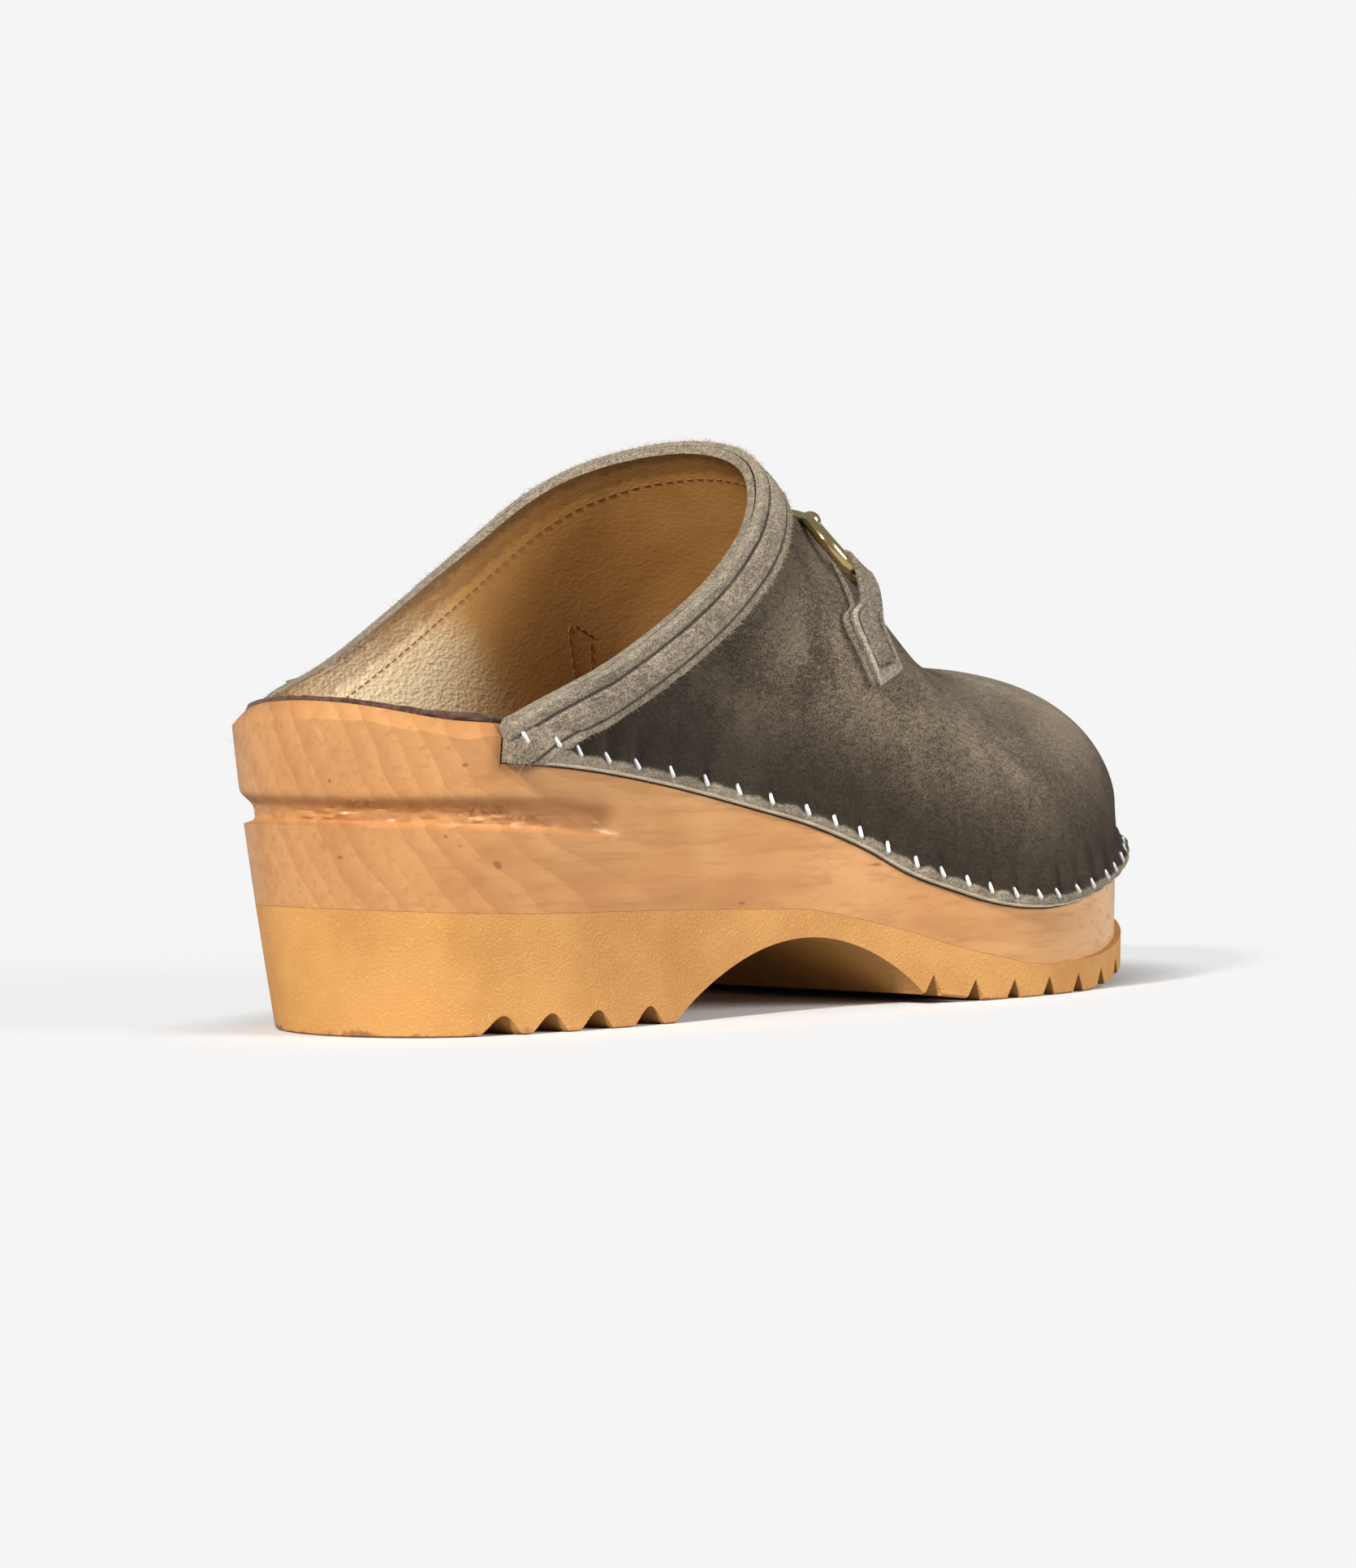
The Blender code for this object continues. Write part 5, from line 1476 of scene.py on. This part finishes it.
def build_tab(name, side, finish):
    """A strap of the tab's width carried along its folded path, with rounded edges and a sewn channel
    inside them."""
    stations = np.linspace(BIT_ALONG - 0.013, BIT_ALONG + 0.013, 27)
    first = RING_REACH + RING_RADIUS
    reaches = np.linspace(first - 0.008, first + 0.030, 66)
    grid, normal = skin_patch(stations, reaches, side)
    path_down, path_high, thick = tab_path()
    count = len(path_down)
    b = np.sin(np.linspace(-math.pi / 2, math.pi / 2, 29)) * 0.5 + 0.5
    share = np.clip(path_down / TAB_LENGTH, 0.0, 1.0)
    edges = [smooth(TAB_EDGES, k, 1.0, 0.001, share)[:, None] for k in (1, 2, 3, 4)]
    heel_x, heel_down, toe_x, toe_down = edges
    y = heel_x * (1 - b) + toe_x * b
    width = np.hypot(toe_x - heel_x, toe_down - heel_down)
    drop = RING_RADIUS - np.sqrt(RING_RADIUS**2 - np.clip(y, -0.0055, 0.0055)**2)
    near_ring = (1 - ramp(path_down, 0.0005, 0.0075))[:, None]
    reach = first + heel_down * (1 - b) + toe_down * b + np.minimum(path_down, 0)[:, None] - drop * near_ring
    x = BIT_ALONG + y
    skin = on_patch(grid, stations, reaches, x, reach)
    up = on_patch(normal, stations, reaches, x, reach)
    middle = skin + up * path_high[:, None, None]
    ahead = np.gradient(middle, axis=0)
    across_dir = np.gradient(middle, axis=1)
    out = np.cross(ahead, across_dir)
    out = unit(out)
    top_row = count - 8
    if (out[top_row] * up[top_row]).sum() < 0:
        out = -out
    rim_share = np.minimum(b, 1 - b)
    rounding = np.sqrt(np.clip(1 - np.clip(1 - rim_share / 0.05, 0, 1)**2, 0.10, 1))
    on_top = ramp(np.arange(count), count - 36, count - 32)[:, None]
    inset = np.minimum(rim_share * width, ((1 - share) * 0.0195)[:, None])
    channel = hump(inset, SEWN_IN, 0.00042) * ramp(share, 0.42, 0.60)[:, None] * on_top
    half = thick[:, None] / 2 * rounding[None]
    points_out = middle + out * (half - 0.00050 * channel)[..., None]
    points_in = middle - out * half[..., None]
    faces = grid_triangles(count, len(b))
    points, faces, _ = two_skins(points_out.reshape(-1, 3), points_in.reshape(-1, 3), faces)
    tab = put_mesh(name, points, faces, [finish], sharp=70)
    marks = np.where(on_top > 0.5, inset, 0.02)
    marks = np.where(share[:, None] > 0.42, marks, 0.02)
    point_values(tab, "inset", np.concatenate([marks.reshape(-1), np.full(marks.size, 0.02)]))
    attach(tab, "root")
    return tab


def tab_suede():
    """Brushed nap between the vamp's and the binding's, pale at the cut edges, dark in the seam."""
    made, tree, place = new_finish("tab_suede", Roughness=0.95, Sheen_Weight=0.16, Sheen_Roughness=0.5,
                                    Specular_IOR_Level=0.12)
    colour, height, share = nap(place, (0.112, 0.092, 0.069, 1.0), (0.372, 0.311, 0.238, 1.0),
                                2100.0, 90.0, 0.9)
    inset = stored(tree, "inset")
    pale = blend(share, (0.25, 0.211, 0.161, 1.0), (0.58, 0.508, 0.405, 1.0))
    colour = blend(spread(inset, 0.0014, 0.0003), colour, pale)
    off = maths("ABSOLUTE", minus(inset, SEWN_IN))
    pits = spread(noise(place, 500.0, 1.0), 0.40, 0.55)
    colour = blend(times(spread(off, 0.00045, 0.0001, 0.0, 0.75), pits), colour,
                   (0.025, 0.020, 0.016, 1.0))
    return dress(made, colour, relief(height, 0.00055, 0.9))


TAB_FINISH = tab_suede()
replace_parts(build_tab("lateral_tab", LATERAL, TAB_FINISH), "tab_lateral")
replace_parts(build_tab("medial_tab", MEDIAL, TAB_FINISH), "tab_medial")

# Lining seams
# Inside, fine tan thread shows as a row of small stitches under the turned border, and as the sewn
# outline of each tab.

BORDER_SEAM = 0.0082
LINING_STITCH = (0.0026, 0.0017, 0.00020)

# Shares of a tab's length where its sewn outline starts and ends, and share of its width in between
TAB_OUTLINE = (0.52, 0.93, 0.14)


def stitches_on(lines, outs, pitch, length, wire):
    """Stitches at equal pitch along lines of points that lie on the lining, as arrays for one mesh."""
    rows = []
    for line, out in zip(lines, outs):
        steps = line_walk(line, pitch, pitch / 2)
        ahead = unit(at_rows(np.gradient(line, axis=0), steps))
        rows.append(capsules(at_rows(line, steps), ahead, at_rows(out, steps), length, wire, 5, 6))
    return together(rows)


grid, normal, _ = band_skin(np.array([0.0, 0.5, 1.0]) * BORDER_SEAM, BAND_HALF_ROWS)
seam_lines = [grid[8:-8, 2] - normal[8:-8, 2] * (UPPER_WALL + 0.00002)]
seam_outs = [-normal[8:-8, 2]]
high, low, inside = TAB_OUTLINE
for side in (LATERAL, MEDIAL):
    stations = np.linspace(BIT_ALONG - 0.013, BIT_ALONG + 0.013, 27)
    reaches = np.linspace(RING_REACH, RING_REACH + RING_RADIUS + 0.030, 66)
    grid, normal = skin_patch(stations, reaches, side)
    share = np.concatenate([np.linspace(high, low, 20), np.full(12, low),
                            np.linspace(low, high, 20), np.full(12, high)])
    over = np.concatenate([np.full(20, inside), np.linspace(inside, 1 - inside, 12),
                           np.full(20, 1 - inside), np.linspace(1 - inside, inside, 12)])
    edge = [smooth(TAB_EDGES, k, 1.0, 0.001, share) for k in (1, 2, 3, 4)]
    x = BIT_ALONG + edge[0] * (1 - over) + edge[2] * over
    reach = RING_REACH + RING_RADIUS + edge[1] * (1 - over) + edge[3] * over
    out = on_patch(normal, stations, reaches, x, reach)
    seam_lines.append(on_patch(grid, stations, reaches, x, reach) - out * (UPPER_WALL + 0.00002))
    seam_outs.append(-out)
points, faces = stitches_on(seam_lines, seam_outs, *LINING_STITCH)
tan_thread, tree, place = new_finish("tan_thread", Roughness=0.7)
twist = noise(place, 3000.0, 2.0)
dress(tan_thread, blend(twist, (0.12, 0.05, 0.015, 1.0), (0.25, 0.12, 0.04, 1.0)))
lining_seams = put_mesh("lining_stitches", points, faces, [tan_thread])
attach(lining_seams, "root")

# Loose fibres
# Raw suede sheds short pale fibres: along both edges of the binding, at its foot on the wood, and
# along the upper's cut edge.

FIBRE = 0.000032
TOP_HAIRS = 3200
LOW_HAIRS = 2200
FOOT_HAIRS = 260
EDGE_HAIRS = 1800
FOOT_ROWS = 22


def fibres(roots, aims, lengths, seed):
    """Thin bent three-sided spikes: each runs from its root along its aim and curls aside by a share
    of its length squared."""
    rng = np.random.default_rng(seed)
    count = len(roots)
    curl = rng.normal(size=(count, 3)) * 0.45
    stages = np.array([0.0, 0.4, 0.75, 1.0])
    line = (roots[:, None] + aims[:, None] * (lengths[:, None] * stages)[..., None]
            + curl[:, None] * (lengths[:, None] * stages**2)[..., None])
    side = np.cross(aims, rng.normal(size=(count, 3)))
    side = unit(side)
    up = np.cross(aims, side)
    spin = np.radians([0, 120, 240])
    circle = side[:, None] * np.cos(spin)[None, :, None] + up[:, None] * np.sin(spin)[None, :, None]
    thin = np.array([1.0, 0.9, 0.65, 0.12]) * FIBRE
    points = line[:, :, None] + circle[:, None] * thin[None, :, None, None]
    one = np.concatenate([grid_triangles(4, 3, closed=True), [(0, 1, 2), (9, 11, 10)]])
    faces = one[None] + (np.arange(count) * 12)[:, None, None]
    return points.reshape(-1, 3), faces.reshape(-1, 3)


rng = np.random.default_rng(21)


def scattered(rows, column_low, column_high, count, lean_down, lean_out, short, long):
    """Roots on the binding between two columns, with aims that mix down, out and chance."""
    r = rng.integers(rows[0], rows[1], count)
    c = rng.integers(column_low, column_high, count)
    roots = outside[r, c]
    aims = downward[r, c] * lean_down + band_normal[r, c] * lean_out + rng.normal(size=(count, 3)) * 0.55
    aims = unit(aims)
    return roots, aims, rng.uniform(short, long, count)


full = (0, len(band_grid))
last = band_grid.shape[1]
feet = ((0, FOOT_ROWS), (full[1] - FOOT_ROWS, full[1]))
groups = [scattered(full, 0, 7, TOP_HAIRS, -0.8, 0.5, 0.0003, 0.0011),
          scattered(full, last - 4, last, LOW_HAIRS, 0.8, 0.4, 0.0003, 0.0009)]
groups += [scattered(foot, 0, last // 2, FOOT_HAIRS, -0.9, 0.4, 0.0006, 0.0026) for foot in feet]
edge_index = np.interp(rng.uniform(0.0, walk_far[-1], EDGE_HAIRS), walk_far, walk_index)
edge_root = strip_point(edge_index, np.full(EDGE_HAIRS, 0.05))
edge_out = outline_point(edge_index, 1.0) - outline_point(edge_index)
edge_out = np.column_stack([edge_out, np.full(EDGE_HAIRS, -0.5)])
edge_aim = unit(edge_out + rng.normal(size=(EDGE_HAIRS, 3)) * 0.6)
edge_long = rng.uniform(0.0003, 0.0008, EDGE_HAIRS)
groups.append((edge_root - edge_out * 0.0004, edge_aim, edge_long))
roots, aims, lengths = [np.concatenate(part) for part in zip(*groups)]
points, faces = fibres(roots, aims, lengths, 4)
pale_fibre, tree, place = new_finish("pale_fibre", Roughness=0.9)
tint = noise(place, 500.0, 2.0)
dress(pale_fibre, blend(tint, (0.30, 0.24, 0.17, 1.0), (0.62, 0.54, 0.42, 1.0)))
fuzz = put_mesh("suede_fibres", points, faces, [pale_fibre])
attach(fuzz, "root")
